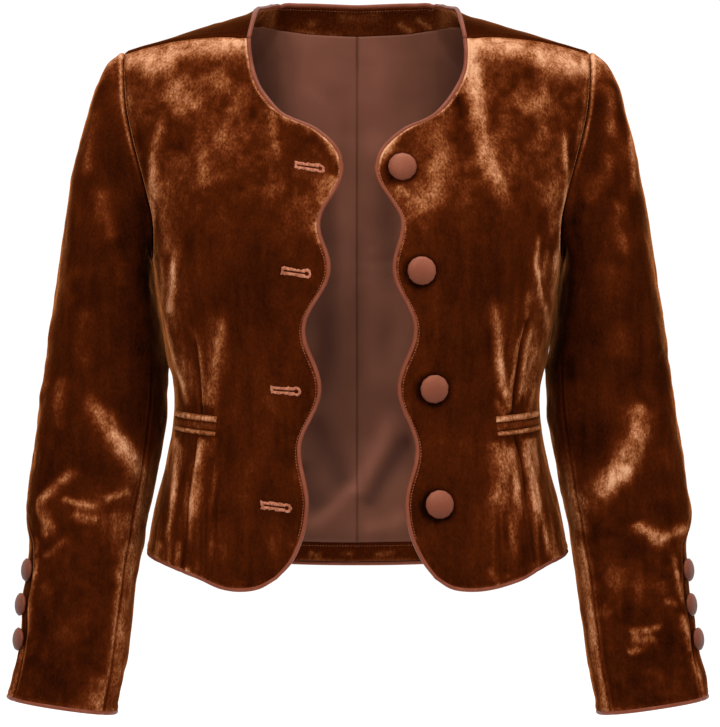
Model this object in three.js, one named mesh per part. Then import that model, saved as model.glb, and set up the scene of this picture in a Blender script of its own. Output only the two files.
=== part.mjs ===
// A cropped velvet blazer with no collar, worn shape, hollow, its scalloped fronts hanging open.
// Millimetres. X runs across the body (wearer's right is -X), Y from front to back, Z up.
// The origin is on the shoulder line at the neck, on the middle plane.
import * as THREE from 'three';

// Cloth and trim
const velvetWall = 2;
const liningWall = 1;
const facingWall = 1.2;
const seamGap = 0.3;
const liningGap = 0.7;
const pipingRadius = 1.6;
const pipingSides = 5;
// How far each rim is drawn in for its seam or its piping
const pipingTrim = pipingRadius + seamGap;
const seamTrim = seamGap / 2 + 0.05;
const shoulderTrim = seamGap;
const pipingEndTrim = 0.5;
// A corner whose two rims turn less than this cosine counts as no corner
const flatCorner = 0.8;

// Torso: a rounded box in plan, closed over the shoulders by an elliptic dome
const planExponent = 2.4;
const domeHeight = 40;
const domeBase = -50;
const rampFrom = -210;
const ridgeLevel = domeBase + domeHeight * Math.PI / 2;

// Half width, front depth and back depth at each level
const torsoRows = [
  { level: -485, half: 178, front: 112, back: 100 },
  { level: -446, half: 174.5, front: 110, back: 97 },
  { level: -416, half: 169, front: 108, back: 94 },
  { level: -386, half: 161, front: 106, back: 88 },
  { level: -355, half: 155, front: 104, back: 83 },
  { level: -325, half: 153, front: 105, back: 82 },
  { level: -295, half: 157, front: 109, back: 85 },
  { level: -243, half: 166, front: 116, back: 93 },
  { level: -210, half: 171, front: 114, back: 98 },
  { level: -170, half: 179, front: 103, back: 100 },
  { level: -130, half: 188, front: 88, back: 98 },
  { level: -90, half: 197, front: 71, back: 90 },
  { level: -50, half: 204, front: 56, back: 78 },
  { level: 13, half: 207, front: 50, back: 68 },
];

// Height of the shoulder ridge, from the middle out
const ridgeRows = [
  { across: 0, height: 29 },
  { across: 50, height: 30 },
  { across: 68, height: 27 },
  { across: 78, height: 8 },
  { across: 88, height: -3 },
  { across: 107, height: -9.3 },
  { across: 128, height: -16 },
  { across: 150, height: -22.7 },
  { across: 174, height: -29.4 },
  { across: 194, height: -36 },
  { across: 210, height: -41 },
];

// Shoulder seam: how far it lies below the ridge, in front of it
const shoulderRows = [
  { across: 90, drop: 24.6 },
  { across: 113.7, drop: 15.4 },
  { across: 134.8, drop: 9.3 },
  { across: 152.3, drop: 5.6 },
  { across: 173.9, drop: 3.8 },
  { across: 194.4, drop: 2.4 },
];

// Front edge, from the neck down, each front's distance from the middle
const neckCurveRows = [
  { right: 89.2, left: 90, height: -40 },
  { right: 86.1, left: 88.5, height: -56.8 },
  { right: 78.2, left: 80, height: -74.9 },
  { right: 61.3, left: 64.5, height: -93.7 },
  { right: 33.1, left: 38, height: -107 },
  { right: 15.5, left: 20, height: -124.6 },
  { right: 12.2, left: 15.9, height: -138 },
];
// Tips and hollows of the scallops
const scallopRows = [
  { right: 12.2, left: 15.9, height: -138 },
  { right: 31.6, left: 37.5, height: -184.8 },
  { right: 22.9, left: 30.5, height: -220 },
  { right: 43.7, left: 48, height: -270.5 },
  { right: 30.6, left: 34.6, height: -318 },
  { right: 47.4, left: 49.4, height: -368 },
  { right: 40.8, left: 40.8, height: -412 },
];
const cornerRows = [
  { right: 40.8, left: 40.8, height: -412 },
  { right: 42.4, left: 42.4, height: -427 },
  { right: 46.6, left: 46.8, height: -442.4 },
  { right: 54.3, left: 54.9, height: -458.5 },
  { right: 66.2, left: 64.8, height: -471.2 },
];
const hemRows = [
  { right: 66.2, left: 64.8, height: -471.2 },
  { right: 80.3, left: 77.8, height: -479.2 },
  { right: 95.8, left: 95.3, height: -481.5 },
  { right: 111.4, left: 113.9, height: -479.5 },
  { right: 128.1, left: 136.5, height: -473 },
  { right: 145, left: 148, height: -467 },
  { right: 162.5, left: 161, height: -460.7 },
];
const hemSideHeight = -453.5;
const hemBackHeight = -471;
// How the grid rows share out along each edge
const frontEdgeShares = { corner: 0.1, scallops: 0.6, neck: 0.3 };
const frontHemShare = 0.82;
const frontSideShare = 0.53;
const backSideShare = 0.5;

// Armhole: a rounded foot at the side seam, then nearly straight over the shoulder
const armpitLevel = -212;
const armholeTurnLevel = -165;
const armholeTurnShare = 0.34;
const armholeTopAngle = 68.8;
const armholeRows = [
  { side: -1, turnAngle: 70.8 },
  { side: 1, turnAngle: 69 },
];

// Back neck, in its own levels over the ridge
const neckSideRows = [
  { across: 86.6, level: 38 },
  { across: 84.4, level: 20 },
  { across: 81, level: 2.5 },
  { across: 76.5, level: -7 },
  { across: 66.5, level: -28.5 },
];
const neckBackLevel = -29.5;
const neckShares = { shoulder: 6 / 26, corner: 11 / 26 };

// Sleeve rings, from the biceps to the cuff: near and far sides of the arm, middle and half depth
const sleeveRows = [
  { height: -235, inner: 169.2, outer: 250.5, middle: 3, depth: 60, tilt: 0 },
  { height: -270, inner: 164.5, outer: 255.5, middle: 3, depth: 59, tilt: 0.01 },
  { height: -305, inner: 159.5, outer: 263, middle: 2, depth: 57, tilt: 0.03 },
  { height: -345, inner: 161.5, outer: 266.5, middle: 0, depth: 55, tilt: 0.06 },
  { height: -385, inner: 168, outer: 273, middle: -2, depth: 53, tilt: 0.09 },
  { height: -425, inner: 175.5, outer: 278, middle: -5, depth: 50, tilt: 0.11 },
  { height: -465, inner: 182.5, outer: 279.5, middle: -8, depth: 47, tilt: 0.12 },
  { height: -505, inner: 188, outer: 282, middle: -11, depth: 43, tilt: 0.13 },
  { height: -545, inner: 193, outer: 287, middle: -14, depth: 40, tilt: 0.14 },
  { height: -585.5, inner: 200.5, outer: 292, middle: -16, depth: 37, tilt: 0.15 },
];
const sleeveExponent = 2.2;
// The cap leaves the armhole outwards and bends down into the first ring
const capReach = 0.42;
const capInset = 1.7;
const capOutset = 0.5;
const capLeave = { out: -0.25, up: 0.05 };
const capAxis = { across: 185, out: 3 };
const frontSeamAngle = -50;
// The back seam swings forward into the cuff vent
const backSeamRows = [
  { height: -212, angle: 100 },
  { height: -380, angle: 98 },
  { height: -420, angle: 90 },
  { height: -455, angle: 62 },
  { height: -600, angle: 56 },
];

// Crumples are deepest at the turn they face and fade to this share elsewhere
const crumpleTurn = 0.3;
const crumpleFloor = 0.35;
const foldEnd = 0.6;
// Soft folds of the cloth: a line from top to bottom, how wide it is and how far it stands
const frontFolds = [
  { side: -1, topAcross: 139, top: -236, footAcross: 127, foot: -335, width: 7, rise: -2.4 },
  { side: -1, topAcross: 130, top: -356, footAcross: 144, foot: -470, width: 8, rise: -2.4 },
  { side: -1, topAcross: 117, top: -245, footAcross: 123, foot: -330, width: 10, rise: 2.6 },
  { side: -1, topAcross: 148, top: -240, footAcross: 138, foot: -335, width: 8, rise: 2.2 },
  { side: -1, topAcross: 112, top: -365, footAcross: 124, foot: -478, width: 12, rise: 2.6 },
  { side: -1, topAcross: 84, top: -300, footAcross: 92, foot: -470, width: 16, rise: 2 },
  { side: -1, topAcross: 160, top: -80, footAcross: 166, foot: -165, width: 10, rise: 3.4 },
  { side: 1, topAcross: 141, top: -238, footAcross: 127, foot: -338, width: 7, rise: -2.4 },
  { side: 1, topAcross: 131, top: -358, footAcross: 147, foot: -466, width: 8, rise: -2.4 },
  { side: 1, topAcross: 118, top: -250, footAcross: 116, foot: -332, width: 10, rise: 2.6 },
  { side: 1, topAcross: 114, top: -366, footAcross: 128, foot: -476, width: 12, rise: 2.6 },
  { side: 1, topAcross: 86, top: -310, footAcross: 96, foot: -468, width: 16, rise: 2 },
  { side: 1, topAcross: 162, top: -84, footAcross: 164, foot: -172, width: 10, rise: 3.4 },
];
// Crumples round the sleeve: their height at the front and at the outer side
const sleeveFolds = [
  { side: -1, inner: -398, outer: -322, width: 15, rise: 5 },
  { side: -1, inner: -352, outer: -292, width: 14, rise: -3.5 },
  { side: -1, inner: -440, outer: -405, width: 14, rise: 3.5 },
  { side: -1, inner: -480, outer: -505, width: 16, rise: 2.6 },
  { side: 1, inner: -412, outer: -328, width: 15, rise: 5 },
  { side: 1, inner: -362, outer: -290, width: 14, rise: -3.5 },
  { side: 1, inner: -445, outer: -428, width: 14, rise: 3.8 },
  { side: 1, inner: -490, outer: -522, width: 16, rise: 2.6 },
];

// Fastenings
const buttonRadius = 11.6;
const buttonHeight = 5;
const buttonSeat = 0.9;
const buttonSides = 12;
const cuffButtonRadius = 9.6;
const cuffButtonHeight = 4.6;
const cuffButtonSides = 10;
const cuffButtonAngle = 60;
const cuffButtonTilt = { out: -0.5, up: 0.1 };
const cuffButtonHeights = [-475, -504, -533];
const frontButtons = [
  { across: 36.9, height: -138.4 },
  { across: 52.2, height: -222.9 },
  { across: 62.5, height: -318.3 },
  { across: 66.7, height: -412.3 },
];
// Fall is how steeply each drops towards the front edge
const buttonholes = [
  { across: 38.4, height: -138.1, fall: 0.15 },
  { across: 49.1, height: -224.1, fall: 0.14 },
  { across: 57.6, height: -319.9, fall: 0.07 },
  { across: 65.4, height: -414, fall: 0.12 },
];
const buttonholeLength = 26;
const buttonholeWidth = 7;
const buttonholeBar = 2.4;
const buttonholeWall = 0.8;
const slitWidth = 1.2;
const keyholeWidth = 9;
const keyholeSlit = 3.6;
const keyholeTurn = 120;
// What lies on a front keeps this far off its curved cloth
const layGap = 0.5;

// Pockets, in the torso's own angles and levels
const pocketInnerAngle = 44.5;
const pocketOuterAngle = 80;
const pocketStrips = [
  { name: 'jet_upper', top: 0, foot: -4, rise: 1.4 },
  { name: 'welt', top: -4.4, foot: -11.6, rise: 0.9 },
  { name: 'jet_lower', top: -12, foot: -14.6, rise: 1.2 },
];
const pocketInnerLevel = -341.8;
const pocketOuterLevel = -337;

// Grid steps
const frontSteps = { across: 12, up: 38 };
const backSteps = { across: 26, up: 18, crowding: 1.2 };
const sleeveSteps = { top: 9, under: 8, along: 22 };
const capSteps = 5;
const pocketSteps = 8;
const facingRows = 2;
const hemFacingRows = 1;

const velvet = { color: 0x8a4a22, roughness: 0.9, metalness: 0 };
const satin = { color: 0x7a4a3a, roughness: 0.45, metalness: 0 };
const trim = { color: 0x8a5040, roughness: 0.4, metalness: 0 };
const buttonCloth = { color: 0x9a6248, roughness: 0.4, metalness: 0 };

const degrees = Math.PI / 180;
const blazer = new THREE.Group();
blazer.name = 'velvet_blazer';

const lerp = THREE.MathUtils.lerp;
const clamp = THREE.MathUtils.clamp;
const signedPower = (value, power) => Math.sign(value) * Math.abs(value) ** power;
const steps = (count) => Array.from({ length: count + 1 }, (_, i) => i / count);

// A smooth curve through a table's rows, read at one value of the key column
function tableAt(rows, key, at, column) {
  const up = rows[rows.length - 1][key] > rows[0][key];
  const sorted = up ? rows : [...rows].reverse();
  const last = sorted.length - 1;
  if (at <= sorted[0][key]) return sorted[0][column];
  if (at >= sorted[last][key]) return sorted[last][column];
  const i = sorted.findIndex((row, k) => at <= sorted[k + 1][key]);
  const slope = (k) => {
    const low = sorted[Math.max(0, k - 1)];
    const high = sorted[Math.min(last, k + 1)];
    return (high[column] - low[column]) / (high[key] - low[key]);
  };
  const step = sorted[i + 1][key] - sorted[i][key];
  const t = (at - sorted[i][key]) / step;
  return (2 * t ** 3 - 3 * t * t + 1) * sorted[i][column]
    + (t ** 3 - 2 * t * t + t) * step * slope(i)
    + (3 * t * t - 2 * t ** 3) * sorted[i + 1][column]
    + (t ** 3 - t * t) * step * slope(i + 1);
}

// Torso surface
function heightAt(across, level) {
  const ridge = tableAt(ridgeRows, 'across', Math.abs(across), 'height');
  if (level <= domeBase) {
    const ramp = THREE.MathUtils.smoothstep(level, rampFrom, domeBase);
    return level + ramp * (ridge - domeBase - domeHeight);
  }
  return ridge - domeHeight * (1 - Math.sin((level - domeBase) / domeHeight));
}

function levelAt(across, height) {
  let low = -600;
  let high = ridgeLevel;
  for (let i = 0; i < 50; i += 1) {
    const middle = (low + high) / 2;
    if (heightAt(across, middle) < height) low = middle;
    else high = middle;
  }
  return (low + high) / 2;
}

function angleAt(across, level) {
  const half = tableAt(torsoRows, 'level', level, 'half');
  return Math.sign(across) * Math.asin(Math.min(1, (Math.abs(across) / half) ** (planExponent / 2)));
}

// side is -1 in front and 1 behind; past the ridge the surface goes on down the other side
function torsoPoint(side, angle, level) {
  if (level > ridgeLevel) return torsoPoint(-side, angle, 2 * ridgeLevel - level);
  const half = tableAt(torsoRows, 'level', level, 'half');
  const depth = tableAt(torsoRows, 'level', level, side < 0 ? 'front' : 'back');
  const across = half * signedPower(Math.sin(angle), 2 / planExponent);
  const fall = level <= domeBase ? 1 : Math.cos((level - domeBase) / domeHeight);
  const out = side * depth * fall * Math.abs(Math.cos(angle)) ** (2 / planExponent);
  return new THREE.Vector3(across, out, heightAt(across, level));
}

// The outward normal of a surface over places, just inside the side seams
function normalOf(side, surface, place) {
  const reach = 1e-3;
  const angle = clamp(place.angle, 2 * reach - Math.PI / 2, Math.PI / 2 - 2 * reach);
  const { level } = place;
  const across = surface({ angle: angle + reach, level }).sub(surface({ angle: angle - reach, level }));
  const up = surface({ angle, level: level + 1 }).sub(surface({ angle, level: level - 1 }));
  return across.cross(up).multiplyScalar(-side).normalize();
}

const placeOf = (across, height) => {
  const level = levelAt(across, height);
  return { angle: angleAt(across, level), level };
};

// Places are pairs of angle and level
const mixPlaces = (terms) => terms.reduce((sum, [weight, place]) => ({
  angle: sum.angle + weight * place.angle,
  level: sum.level + weight * place.level,
}), { angle: 0, level: 0 });

// Armhole from the armpit (0) to the ridge (1), on the wearer's hand side -1 or 1
function armholePlace(hand, side, share) {
  const { turnAngle } = armholeRows.find((row) => row.side === side);
  if (share < armholeTurnShare) {
    const turn = share / armholeTurnShare * Math.PI / 2;
    return {
      angle: hand * degrees * (90 - (90 - turnAngle) * Math.sin(turn)),
      level: armholeTurnLevel - (armholeTurnLevel - armpitLevel) * Math.cos(turn),
    };
  }
  const rise = (share - armholeTurnShare) / (1 - armholeTurnShare);
  return {
    angle: hand * degrees * lerp(turnAngle, armholeTopAngle, rise),
    level: lerp(armholeTurnLevel, ridgeLevel, rise),
  };
}

function shoulderPlace(hand, share) {
  const last = shoulderRows.length - 1;
  const across = lerp(shoulderRows[0].across, shoulderRows[last].across, share);
  const drop = tableAt(shoulderRows, 'across', across, 'drop');
  const level = domeBase + domeHeight * Math.asin(1 - drop / domeHeight);
  return { angle: angleAt(hand * across, level), level };
}

// Share of the front armhole at which the shoulder seam meets it
const shoulderTip = shoulderPlace(1, 1);
const shoulderTipShare = armholeTurnShare
  + (1 - armholeTurnShare) * (shoulderTip.level - armholeTurnLevel) / (ridgeLevel - armholeTurnLevel);
shoulderTip.angle = armholePlace(1, -1, shoulderTipShare).angle;

// Both panels follow this line, from the neck to the armhole
function shoulderSeam(hand, share) {
  const place = shoulderPlace(hand, share);
  const fix = hand * shoulderTip.angle - shoulderPlace(hand, 1).angle;
  return { angle: place.angle + share * fix, level: place.level };
}

// A line of places through a table, smooth along its length
function tableLine(rows, hand, column) {
  const points = rows.map((row) => new THREE.Vector3(row[column], row.height, 0));
  const line = new THREE.CatmullRomCurve3(points, false, 'centripetal');
  return (share) => {
    const point = line.getPointAt(clamp(share, 0, 1));
    return placeOf(hand * point.x, point.y);
  };
}

function scallopLine(hand, column) {
  return (share) => {
    const run = clamp(share, 0, 1) * (scallopRows.length - 1);
    const i = Math.min(Math.floor(run), scallopRows.length - 2);
    const ease = (1 - Math.cos((run - i) * Math.PI)) / 2;
    const across = lerp(scallopRows[i][column], scallopRows[i + 1][column], ease);
    return placeOf(hand * across, lerp(scallopRows[i].height, scallopRows[i + 1].height, run - i));
  };
}

// Joins lines end to end; each takes its share of the whole
function joinLines(parts) {
  return (share) => {
    let from = 0;
    for (const [index, part] of parts.entries()) {
      const to = from + part.share;
      if (share <= to || index === parts.length - 1) {
        return part.line(clamp((share - from) / part.share, 0, 1));
      }
      from = to;
    }
    return null;
  };
}

// A patch between four lines of places
function patch(foot, top, start, end) {
  const corners = [foot(0), foot(1), top(0), top(1)];
  return (s, t) => {
    const near = (1 - s) ** 2;
    const high = t * t;
    const low = 1 - high;
    return mixPlaces([
      [low, foot(s)], [high, top(s)], [near, start(t)], [1 - near, end(t)],
      [-near * low, corners[0]], [-(1 - near) * low, corners[1]],
      [-near * high, corners[2]], [-(1 - near) * high, corners[3]],
    ]);
  };
}

// Height of the soft folds that cross a point
function foldRise(folds, hand, across, height) {
  let rise = 0;
  for (const fold of folds) {
    if (fold.side !== hand) continue;
    const share = (fold.top - height) / (fold.top - fold.foot);
    if (share <= 0 || share >= 1) continue;
    const line = lerp(fold.topAcross, fold.footAcross, share);
    const off = (Math.abs(across) - line) / fold.width;
    rise += fold.rise * Math.sin(Math.PI * share) ** foldEnd * Math.exp(-off * off);
  }
  return rise;
}

// Draws the rim of a grid in by its trims, square to the rim, so that a seam stays open by its gap
function trimGrid(points, trims) {
  const last = points.length - 1;
  const end = points[0].length - 1;
  const inward = (point, inner, before, after) => {
    const along = after.clone().sub(before).normalize();
    const way = inner.clone().sub(point);
    return way.addScaledVector(along, -way.dot(along)).normalize();
  };
  return points.map((row, i) => row.map((point, j) => {
    const moved = point.clone();
    const left = row[Math.max(0, j - 1)];
    const right = row[Math.min(end, j + 1)];
    const below = points[Math.max(0, i - 1)][j];
    const above = points[Math.min(last, i + 1)][j];
    const pulls = [];
    if (i === 0) pulls.push([inward(point, above, left, right), trims.foot]);
    if (i === last) pulls.push([inward(point, below, left, right), trims.top]);
    if (j === 0 && trims.start > 0) pulls.push([inward(point, right, below, above), trims.start]);
    if (j === end && trims.end > 0) pulls.push([inward(point, left, below, above), trims.end]);
    if (pulls.length === 0) return moved;
    const [[way, rim], other] = pulls;
    const amount = rim instanceof Function ? rim(j) : rim;
    if (!other) return moved.addScaledVector(way, amount);
    // A corner is drawn in from both rims, and a corner as flat as a rim only once
    const crossing = way.dot(other[0]);
    if (crossing > flatCorner) return moved.addScaledVector(way, Math.max(amount, other[1]));
    return moved.addScaledVector(way, (amount - other[1] * crossing) / (1 - crossing ** 2))
      .addScaledVector(other[0], (other[1] - amount * crossing) / (1 - crossing ** 2));
  }));
}

// A closed wall between the grid moved out by two distances along its normals
function wallGeometry(points, normals, outer, inner) {
  const rows = points.length;
  const columns = points[0].length;
  const positions = [];
  for (const offset of [outer, inner]) {
    for (let i = 0; i < rows; i += 1) {
      for (let j = 0; j < columns; j += 1) {
        positions.push(...points[i][j].clone().addScaledVector(normals[i][j], offset).toArray());
      }
    }
  }
  const at = (layer, i, j) => (layer * rows + i) * columns + j;
  const index = [];
  const quad = (a, b, c, d) => index.push(a, b, c, a, c, d);
  const [i0, j0] = [Math.floor(rows / 2), Math.floor(columns / 2)];
  const u = points[i0][j0].clone().sub(points[i0][j0 - 1]);
  const v = points[i0][j0].clone().sub(points[i0 - 1][j0]);
  const facesOut = u.cross(v).dot(normals[i0][j0]) > 0;
  for (let i = 0; i < rows - 1; i += 1) {
    for (let j = 0; j < columns - 1; j += 1) {
      quad(at(0, i, j), at(0, i, j + 1), at(0, i + 1, j + 1), at(0, i + 1, j));
      quad(at(1, i, j), at(1, i + 1, j), at(1, i + 1, j + 1), at(1, i, j + 1));
    }
  }
  const rim = [];
  for (let j = 0; j < columns - 1; j += 1) rim.push([0, j]);
  for (let i = 0; i < rows - 1; i += 1) rim.push([i, columns - 1]);
  for (let j = columns - 1; j > 0; j -= 1) rim.push([rows - 1, j]);
  for (let i = rows - 1; i > 0; i -= 1) rim.push([i, 0]);
  rim.forEach(([i, j], k) => {
    const [m, n] = rim[(k + 1) % rim.length];
    quad(at(0, i, j), at(1, i, j), at(1, m, n), at(0, m, n));
  });
  if (!facesOut) index.reverse();
  const geometry = new THREE.BufferGeometry();
  geometry.setAttribute('position', new THREE.Float32BufferAttribute(positions, 3));
  geometry.setIndex(index);
  return geometry;
}

function addPiece(name, geometry, finish) {
  const piece = new THREE.Mesh(geometry, new THREE.MeshStandardMaterial(finish));
  piece.name = name;
  blazer.add(piece);
}

// A round tube through points, each ring square to the line there
function tubeGeometry(points, radius, sides, closed, guide) {
  const count = points.length;
  const positions = [];
  points.forEach((point, i) => {
    const before = closed ? points[(i + count - 1) % count] : points[Math.max(0, i - 1)];
    const after = closed ? points[(i + 1) % count] : points[Math.min(count - 1, i + 1)];
    const along = after.clone().sub(before).normalize();
    const side = guide[i].clone().addScaledVector(along, -guide[i].dot(along)).normalize();
    const other = along.clone().cross(side);
    for (let k = 0; k < sides; k += 1) {
      const turn = 2 * Math.PI * k / sides;
      positions.push(...point.clone()
        .addScaledVector(side, radius * Math.cos(turn))
        .addScaledVector(other, radius * Math.sin(turn)).toArray());
    }
  });
  const index = [];
  const spans = closed ? count : count - 1;
  for (let i = 0; i < spans; i += 1) {
    const next = (i + 1) % count;
    for (let k = 0; k < sides; k += 1) {
      const turned = (k + 1) % sides;
      const a = i * sides + k;
      const b = i * sides + turned;
      const c = next * sides + turned;
      const d = next * sides + k;
      index.push(a, b, c, a, c, d);
    }
  }
  if (!closed) {
    for (let k = 1; k < sides - 1; k += 1) {
      index.push(0, k + 1, k);
      const end = (count - 1) * sides;
      index.push(end, end + k, end + k + 1);
    }
  }
  const geometry = new THREE.BufferGeometry();
  geometry.setAttribute('position', new THREE.Float32BufferAttribute(positions, 3));
  geometry.setIndex(index);
  return geometry;
}

function trimEnds(line) {
  const last = line.length - 1;
  line[0].lerp(line[1], pipingEndTrim / line[0].distanceTo(line[1]));
  line[last].lerp(line[last - 1], pipingEndTrim / line[last].distanceTo(line[last - 1]));
}

// Fronts
function frontPatch(hand) {
  const column = hand < 0 ? 'right' : 'left';
  const hemEnd = { angle: hand * Math.PI / 2, level: hemSideHeight };
  const hemLine = tableLine(hemRows, hand, column);
  const foot = (s) => {
    if (s <= frontHemShare) return hemLine(s / frontHemShare);
    const share = (s - frontHemShare) / (1 - frontHemShare);
    return mixPlaces([[1 - share, hemLine(1)], [share, hemEnd]]);
  };
  const top = (s) => shoulderSeam(hand, s);
  const neckEnd = shoulderRows[0].across;
  const neckEndHeight = tableAt(ridgeRows, 'across', neckEnd, 'height') - shoulderRows[0].drop;
  const neckRows = [{ right: neckEnd, left: neckEnd, height: neckEndHeight }, ...neckCurveRows];
  const neck = tableLine(neckRows, hand, column);
  const corner = tableLine(cornerRows, hand, column);
  const scallops = scallopLine(hand, column);
  const start = joinLines([
    { share: frontEdgeShares.corner, line: (share) => corner(1 - share) },
    { share: frontEdgeShares.scallops, line: (share) => scallops(1 - share) },
    { share: frontEdgeShares.neck, line: (share) => neck(1 - share) },
  ]);
  const end = joinLines([
    { share: frontSideShare, line: (share) => ({
      angle: hand * Math.PI / 2, level: lerp(hemSideHeight, armpitLevel, share),
    }) },
    { share: 1 - frontSideShare, line: (share) => armholePlace(hand, -1, share * shoulderTipShare) },
  ]);
  return patch(foot, top, start, end);
}

function frontPoint(hand, place) {
  const surface = (at) => torsoPoint(-1, at.angle, at.level);
  const point = surface(place);
  const rise = foldRise(frontFolds, hand, point.x, point.z);
  return rise === 0 ? point : point.addScaledVector(normalOf(-1, surface, place), rise);
}

const frontNormal = (hand, place) => normalOf(-1, (at) => frontPoint(hand, at), place);

function makeFront(hand, name) {
  const place = frontPatch(hand);
  const places = steps(frontSteps.up).map((t) => steps(frontSteps.across).map((s) => place(s, t)));
  const points = places.map((row) => row.map((at) => frontPoint(hand, at)));
  const normals = places.map((row) => row.map((at) => frontNormal(hand, at)));
  const trims = { foot: pipingTrim, top: shoulderTrim, start: pipingTrim, end: seamTrim };
  addPiece(`front_${name}`, wallGeometry(trimGrid(points, trims), normals, 0, -velvetWall), velvet);
  // One length of piping runs from the side seam along the hem, round the corner and up to the neck
  const hem = points[0].map((point, j) => [point, normals[0][j]]).reverse();
  const edge = points.map((row, i) => [row[0], normals[i][0]]).slice(1);
  const run = [...hem, ...edge];
  const line = run.map(([point, normal]) => point.clone().addScaledVector(normal, -velvetWall / 2));
  trimEnds(line);
  const guide = run.map(([, normal]) => normal);
  addPiece(`piping_front_${name}`, tubeGeometry(line, pipingRadius, pipingSides, false, guide), trim);
}

// Back, with its facings and lining made from the same points
function backPatch() {
  const foot = (s) => {
    const angle = lerp(-Math.PI / 2, Math.PI / 2, s);
    return { angle, level: lerp(hemBackHeight, hemSideHeight, Math.sin(angle) ** 2) };
  };
  const overRidge = (place) => ({ angle: place.angle, level: 2 * ridgeLevel - place.level });
  const shoulder = (hand, share) => overRidge(shoulderSeam(hand, share));
  const neckRun = (hand, share) => {
    const rows = [{ across: shoulderRows[0].across, level: shoulder(hand, 0).level }, ...neckSideRows];
    const run = share * (rows.length - 1);
    const i = Math.min(Math.floor(run), rows.length - 2);
    const across = lerp(rows[i].across, rows[i + 1].across, run - i);
    const level = lerp(rows[i].level, rows[i + 1].level, run - i);
    const ownLevel = level > ridgeLevel ? 2 * ridgeLevel - level : level;
    return { angle: angleAt(hand * across, ownLevel), level };
  };
  const lastRow = neckSideRows[neckSideRows.length - 1];
  const backRun = (share) => {
    const across = lerp(-lastRow.across, lastRow.across, share);
    const level = lerp(neckBackLevel, lastRow.level, (across / lastRow.across) ** 2);
    return { angle: angleAt(across, level), level };
  };
  const shoulderShare = neckShares.shoulder;
  const sideShare = neckShares.corner - neckShares.shoulder;
  const top = joinLines([
    { share: shoulderShare, line: (share) => shoulder(-1, 1 - share) },
    { share: sideShare, line: (share) => neckRun(-1, share) },
    { share: 1 - 2 * neckShares.corner, line: backRun },
    { share: sideShare, line: (share) => neckRun(1, 1 - share) },
    { share: shoulderShare, line: (share) => shoulder(1, share) },
  ]);
  const frontPart = 1 - shoulderTipShare;
  const armhole = (hand) => (share) => {
    const run = share * (1 + frontPart);
    if (run <= 1) return armholePlace(hand, 1, run);
    return overRidge(armholePlace(hand, -1, 2 - run));
  };
  const edge = (hand) => joinLines([
    { share: backSideShare, line: (share) => ({
      angle: hand * Math.PI / 2, level: lerp(hemSideHeight, armpitLevel, share),
    }) },
    { share: 1 - backSideShare, line: armhole(hand) },
  ]);
  const left = edge(-1);
  const right = edge(1);
  const corners = [foot(0), foot(1), top(0), top(1)];
  return (s, t) => {
    const high = t ** 3;
    const low = 1 - high;
    return mixPlaces([
      [low, foot(s)], [high, top(s)], [1 - s, left(t)], [s, right(t)],
      [-(1 - s) * low, corners[0]], [-s * low, corners[1]],
      [-(1 - s) * high, corners[2]], [-s * high, corners[3]],
    ]);
  };
}

function cutGrid(grid, rows, columns) {
  return grid.slice(rows[0], rows[1] + 1).map((row) => row.slice(columns[0], columns[1] + 1));
}

function makeBack() {
  const place = backPatch();
  const rise = (share) => 1 - (1 - share) ** backSteps.crowding;
  const places = steps(backSteps.up).map((t) => steps(backSteps.across).map((s) => place(s, rise(t))));
  const surface = (at) => torsoPoint(1, at.angle, at.level);
  const points = places.map((row) => row.map(surface));
  const normals = places.map((row) => row.map((at) => normalOf(1, surface, at)));
  const neckFrom = Math.round(neckShares.shoulder * backSteps.across);
  const neckTo = backSteps.across - neckFrom;
  const last = backSteps.up;
  // The neck's own rim is drawn in further, for its piping
  const topTrim = (j) => {
    if (j === neckFrom || j === neckTo) return pipingTrim * Math.SQRT2;
    return j > neckFrom && j < neckTo ? pipingTrim : shoulderTrim;
  };
  const body = trimGrid(points, { foot: pipingTrim, top: topTrim, start: seamTrim, end: seamTrim });
  addPiece('back', wallGeometry(body, normals, 0, -velvetWall), velvet);

  const under = -(velvetWall + liningGap);
  const evenTrims = { foot: seamTrim, top: seamTrim, start: seamTrim, end: seamTrim };
  const cover = (name, rows, columns, wall, finish, trimsUsed) => {
    const cut = trimGrid(cutGrid(points, rows, columns), trimsUsed);
    addPiece(name, wallGeometry(cut, cutGrid(normals, rows, columns), under, under - wall), finish);
  };
  const neckTrims = { foot: seamTrim, top: pipingTrim, start: 0, end: 0 };
  const hemTrims = { ...evenTrims, foot: pipingTrim };
  cover('facing_back_neck', [last - facingRows, last], [neckFrom + 1, neckTo - 1], facingWall, velvet, neckTrims);
  cover('facing_back_hem', [0, hemFacingRows], [1, backSteps.across - 1], facingWall, velvet, hemTrims);
  const middle = backSteps.across / 2;
  const liningSpan = [hemFacingRows, last - facingRows];
  cover('lining_back_right', liningSpan, [1, middle], liningWall, satin, evenTrims);
  cover('lining_back_left', liningSpan, [middle, backSteps.across - 1], liningWall, satin, evenTrims);

  const pipe = (name, row, from, to) => {
    const line = [];
    const guide = [];
    for (let j = from; j <= to; j += 1) {
      line.push(points[row][j].clone().addScaledVector(normals[row][j], -velvetWall / 2));
      guide.push(normals[row][j]);
    }
    trimEnds(line);
    addPiece(name, tubeGeometry(line, pipingRadius, pipingSides, false, guide), trim);
  };
  pipe('piping_back_neck', last, neckFrom, neckTo);
  pipe('piping_back_hem', 0, 0, backSteps.across);
}

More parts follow.
